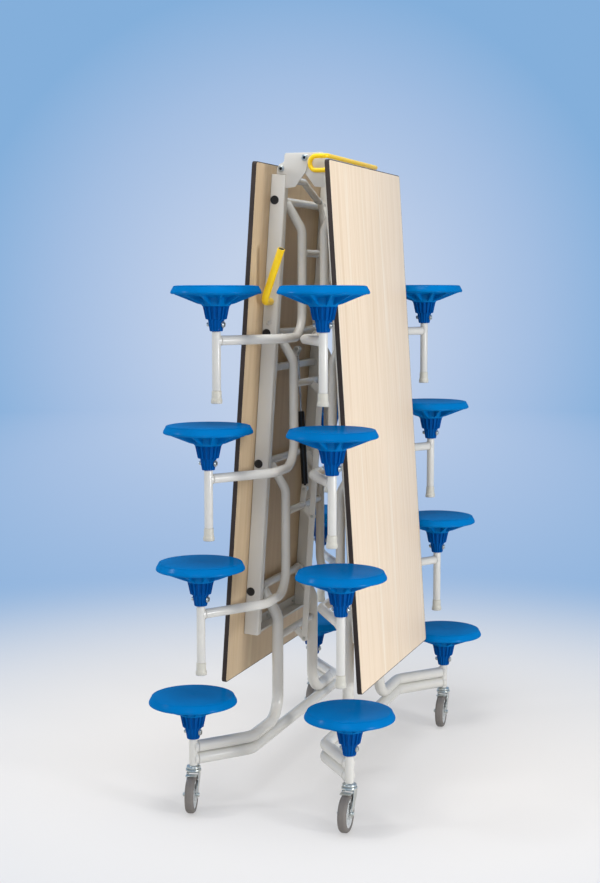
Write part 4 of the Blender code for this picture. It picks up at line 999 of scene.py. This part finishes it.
def linkage(side):
    """A leaf's tie rod and the sync link that runs from its top to the other leaf's hinge bracket, flat bars
    side by side."""
    name, paint = SIDE_NAMES[side], [POWDER_COAT]
    across = side * (TIE_ROD_FACE - PLATE_6 / 2)
    rows = flat_bar_rows(tie_pin(side, 1), tie_pin(side, STOOLS_PER_LEAF), TIE_ROD_WIDTH, PLATE_6, across)
    rod = Skin().add(rows, 0, "flat")
    piece(f"long_rod_{name}", rod, f"{name}_tie_rod", paint, [f"tie_rod_{name}"])
    across = side * (TIE_ROD_FACE + RUNNING_GAP + PLATE_6 / 2)
    rows = flat_bar_rows(sync_pin(-side), tie_pin(side, 1), SYNC_LINK_WIDTH, PLATE_6, across)
    link = Skin().add(rows, 0, "flat")
    piece(f"short_link_{name}", link, f"{name}_sync_link", paint, [f"sync_link_{name}"])


def gas_strut():
    """A cylinder turned about the strut's line, with a blind bore for the rod, and the rod with its end. The
    bore is deep enough for the rod when the table is open."""
    foot, head = strut_foot(), strut_head()
    along = unit(head - foot)
    eye = Y * (GUSSET_ACROSS - RUNNING_GAP)
    shell = [(0.0015, 0.012), (0.005, 0.012), (0.005, 0.017), (0.012, 0.0175), (0.012, 0.279)]
    shell += [(0.0105, 0.284), (0.0048, 0.285), (0.0048, 0.070)]
    shell = smooth_profile(shell, [0.001, 0.001, 0.003, 0.004, 0.002, 0.001])
    body = Skin().add(turned_rows(shell, 40, foot, along))
    body.add(rod_rows(foot - eye, foot + eye, 0.0105, 0.0015), 1)
    piece("strut_body", body, "strut_cylinder", [STRUT_PAINT, ZINC], ["strut_cylinder"])
    bright = Skin().add(rod_rows(foot + along * 0.256, head - along * 0.004, 0.004, 0.0008))
    bright.add(rod_rows(head - along * 0.024, head - along * 0.006, 0.0055, 0.001), 1)
    bright.add(rod_rows(head - eye, head + eye, 0.0105, 0.0015), 1)
    piece("strut_shaft", bright, "strut_rod", [HARD_CHROME, ZINC], ["strut_rod"])


def bail():
    """The yellow bail: one rod with a hook at each end, bent round the hinge bolts."""
    pin = leaf_place(RIGHT, HINGE_BOLT_DOWN, HINGE_BOLT_DEPTH)
    plate_face = PLATE_ACROSS[RIGHT] + HINGE_PLATE / 2 + RUNNING_GAP
    low = BAIL_RUN_ABOVE - BAIL_HOOK_HEIGHT
    corners = []
    for end in (NEAR, FAR):
        half = [
            np.array((pin[0], end * plate_face, HINGE_HEIGHT + low)),
            np.array((pin[0], end * BAIL_ACROSS, HINGE_HEIGHT + low)),
            hinge_place(RIGHT, BAIL_HOOK_IN, end * BAIL_ACROSS, low),
            hinge_place(RIGHT, BAIL_HOOK_IN, end * BAIL_ACROSS, BAIL_RUN_ABOVE),
            hinge_place(RIGHT, BAIL_RUN_IN, end * BAIL_ACROSS, BAIL_RUN_ABOVE),
        ]
        corners += half if end == NEAR else half[::-1]
    hook = BAIL_HOOK_HEIGHT / 2 - 0.001
    radii = (BAIL_ROD / 2 + RUNNING_GAP, hook, hook, BAIL_CORNER)
    rod = Skin().add(bar_rows(rounded_path(corners, (*radii, *radii[::-1]), 12), BAIL_ROD / 2))
    piece("bail_rod", rod, "latch_bail", [VINYL_YELLOW], ["latch_bail"])


def crank():
    """The yellow handle: a bent tube, open at its top end, with a black plug a little way down its mouth."""
    start = leaf_place(LEFT, CRANK_DOWN, BOARD_THICKNESS + RAIL_DEPTH / 2) - Y * (RAIL_OUTER + RUNNING_GAP)
    corner = start - Y * CRANK_REACH
    top = corner + np.array((CRANK_LEAN_IN, -CRANK_LEAN_OUT, CRANK_RISE))
    path = rounded_path([start, corner, top], (CRANK_BEND,), 14)
    tube = Skin().add(bar_rows(path, CRANK_TUBE / 2, 0.0008, 32, mouth=(0.0022, 0.016)))
    along = unit(path[-1] - path[-2])
    plug = [(0.004, -0.012), (0.0100, -0.012), (0.0100, -0.0016), (0.0092, -0.0004), (0.004, -0.0004)]
    tube.add(turned_rows(plug, 32, path[-1], along), 1)
    piece("crank_tube", tube, "crank_handle", [VINYL_YELLOW, PLUG_BLACK], ["crank_handle"])


for side in (LEFT, RIGHT):
    leaf_board(side)
    leaf_rails(side)
    hinge_bracket(side)
    linkage(side)
    for number in range(1, STOOLS_PER_LEAF + 1):
        stool_frame(side, number)
        for end in (NEAR, FAR):
            seat(side, number, end)
            if number < STOOLS_PER_LEAF:
                foot_cap(side, number, end)
    for end in (NEAR, FAR):
        caster(side, end)
gas_strut()
bail()
crank()


# The studio.


CLOTH = ("#C2D1E9", "#B7CAE7", "#A3BEE2", "#84AFDB")
PAPER, GLARE, DAYLIGHT = "#E4E3E3", "#F3F2F2", "#FFFDFA"
# Where the painted glow on the backdrop is lightest, how it is turned and drawn out, and how far it reaches.
GLOW_AT, GLOW_TURN, GLOW_WIDTH, GLOW_REACH = (-5.44, 15.04, 1.25), math.radians(19.5), 3.7, 5.0
WHITE_TO, BLUE_FROM, FLOOR_GLARE = 0.5, 3.9, 0.42
STUDIO_RADIUS, WALL_HEIGHTS = 16.0, (0.0, 3.0, 9.0)
FILL_LIGHT, LAMPS_AIM = 0.53, Vector((0, 0, 1.1))
# Each lamp's name, place, width in metres and power in watts.
LAMPS = (
    ("left_lamp", (-4.2, -2.4, 3.4), 0.8, 58),
    ("right_lamp", (4.9, -2.0, 1.6), 1.0, 115),
    ("top_lamp", (0.0, -1.2, 6.2), 2.6, 160),
    ("front_lamp", (1.0, -6.0, 3.8), 2.4, 36),
)
CAMERA_PLACE, CAMERA_LENS = (1.7175, -5.1782, 1.7647), 61.57
CAMERA_AZIMUTH, CAMERA_PITCH = math.radians(19.4937), math.radians(5.9631)


def seen_directly(tree):
    """1 for what the camera, a reflection or a view through glass shows, and 0 for light."""
    ray = node(tree, "ShaderNodeLightPath")
    first = [(ray, "Is Camera Ray", 0), (ray, "Is Glossy Ray", 1)]
    seen = node(tree, "ShaderNodeMath", first, operation="MAXIMUM")
    return node(tree, "ShaderNodeMath", [(seen, 0, 0), (ray, "Is Transmission Ray", 1)], operation="MAXIMUM")


def mixed(tree, factor, lit, shown, into):
    """What light meets and what is seen directly, mixed by a factor, as the output of a material or world."""
    both = node(tree, "ShaderNodeMixShader", [(factor, 0, 0), (lit, 0, 1), (shown, 0, 2)])
    tree.links.new(both.outputs[0], into.inputs["Surface"])


def stage_piece(name, rows, finish):
    """A part of the studio: a grid of rings joined into one open surface."""
    rows = np.asarray(rows, float)
    index = np.arange(rows.shape[0] * rows.shape[1]).reshape(rows.shape[:2])
    mesh = bpy.data.meshes.new(name)
    mesh.from_pydata(rows.reshape(-1, 3), [], quads(index[:-1], index[1:]))
    mesh.materials.append(finish)
    made = bpy.data.objects.new(name, mesh)
    bpy.context.scene.collection.objects.link(made)


def cloth_with_painted_glow(tree, where):
    """A blue with a painted glow of light on it, lightest behind the table and fading with the distance from
    there.
    """
    place = {"Location": GLOW_AT, "Rotation": (0, 0, GLOW_TURN), "Scale": (1, GLOW_WIDTH, 1)}
    sight = node(tree, "ShaderNodeMapping", [(*where, "Vector")], vector_type="TEXTURE", **place)
    away = node(tree, "ShaderNodeVectorMath", [(sight, 0, 0)], operation="LENGTH")
    level = node(tree, "ShaderNodeMapRange", [(away, "Value", "Value")], From_Max=GLOW_REACH)
    tone = ramp(tree, (level, "Result"), (0.24, 0.42, 0.67, 0.94), CLOTH)
    return node(tree, "ShaderNodeEmission", [(tone, "Color", "Color")], Strength=1.0)


def floor():
    """A round paper floor, white under the table and blue further out. It keeps the table's shadow, because
    only a share of what is seen of it is painted."""
    paper, tree, shader = material("matt_floor_paper", PAPER, 0.9)
    where = place_of(tree)
    away = node(tree, "ShaderNodeVectorMath", [(*where, 0)], operation="LENGTH")
    reach = {"interpolation_type": "SMOOTHSTEP", "From_Min": WHITE_TO, "From_Max": BLUE_FROM}
    fade = node(tree, "ShaderNodeMapRange", [(away, "Value", "Value")], **reach)
    glare = node(tree, "ShaderNodeEmission", Color=linear(GLARE), Strength=1.0)
    cloth = cloth_with_painted_glow(tree, where)
    glow = node(tree, "ShaderNodeMixShader", [(fade, "Result", 0), (glare, 0, 1), (cloth, 0, 2)])
    lift = node(tree, "ShaderNodeMapRange", [(fade, "Result", "Value")], To_Min=FLOOR_GLARE)
    seen = [(lift, "Result", 0), (seen_directly(tree), 0, 1)]
    shown = node(tree, "ShaderNodeMath", seen, operation="MULTIPLY")
    mixed(tree, shown, shader, glow, tree.nodes["Material Output"])
    ring = np.concatenate([circle(96), np.zeros((96, 1))], axis=1)
    stage_piece("floor", [ring * 0.001, ring * STUDIO_RADIUS], paper)


def backdrop():
    """A blue wall round the floor, which is seen and lets all light through."""
    cloth, tree = material("matt_backdrop", CLOTH[-1], 0.9)[:2]
    glow = cloth_with_painted_glow(tree, place_of(tree))
    clear = node(tree, "ShaderNodeBsdfTransparent")
    mixed(tree, seen_directly(tree), clear, glow, tree.nodes["Material Output"])
    ring = np.concatenate([circle(96), np.zeros((96, 1))], axis=1) * STUDIO_RADIUS
    stage_piece("backdrop", [ring + Z * height for height in WALL_HEIGHTS], cloth)


def studio_light():
    """An even pale light from the world, which is seen as blue, and four soft round lamps."""
    world = bpy.data.worlds.new("studio")
    world.use_nodes = True
    bpy.context.scene.world = world
    tree = world.node_tree
    tree.nodes.clear()
    light = node(tree, "ShaderNodeBackground", Color=linear(DAYLIGHT), Strength=FILL_LIGHT)
    above = node(tree, "ShaderNodeBackground", Color=linear(CLOTH[-1]), Strength=1.0)
    mixed(tree, seen_directly(tree), light, above, node(tree, "ShaderNodeOutputWorld"))
    for name, place, size, power in LAMPS:
        lamp = bpy.data.lights.new(name, "AREA")
        lamp.shape = "DISK"
        lamp.size = size
        lamp.energy = power
        made = bpy.data.objects.new(name, lamp)
        made.location = place
        made.rotation_euler = (LAMPS_AIM - Vector(place)).to_track_quat("-Z", "Y").to_euler()
        bpy.context.scene.collection.objects.link(made)


def photo_camera():
    """The camera at the photograph's place and angle."""
    level = math.cos(CAMERA_PITCH)
    forward = Vector(
        (-math.sin(CAMERA_AZIMUTH) * level, math.cos(CAMERA_AZIMUTH) * level, -math.sin(CAMERA_PITCH))
    )
    data = bpy.data.cameras.new("photo_camera")
    data.sensor_width = 36.0
    data.lens = CAMERA_LENS
    data.clip_end = 100.0
    made = bpy.data.objects.new("photo_camera", data)
    made.location = CAMERA_PLACE
    made.rotation_euler = forward.to_track_quat("-Z", "Y").to_euler()
    bpy.context.scene.collection.objects.link(made)
    bpy.context.scene.camera = made


floor()
backdrop()
studio_light()
photo_camera()
bpy.context.scene.view_settings.view_transform = "Standard"
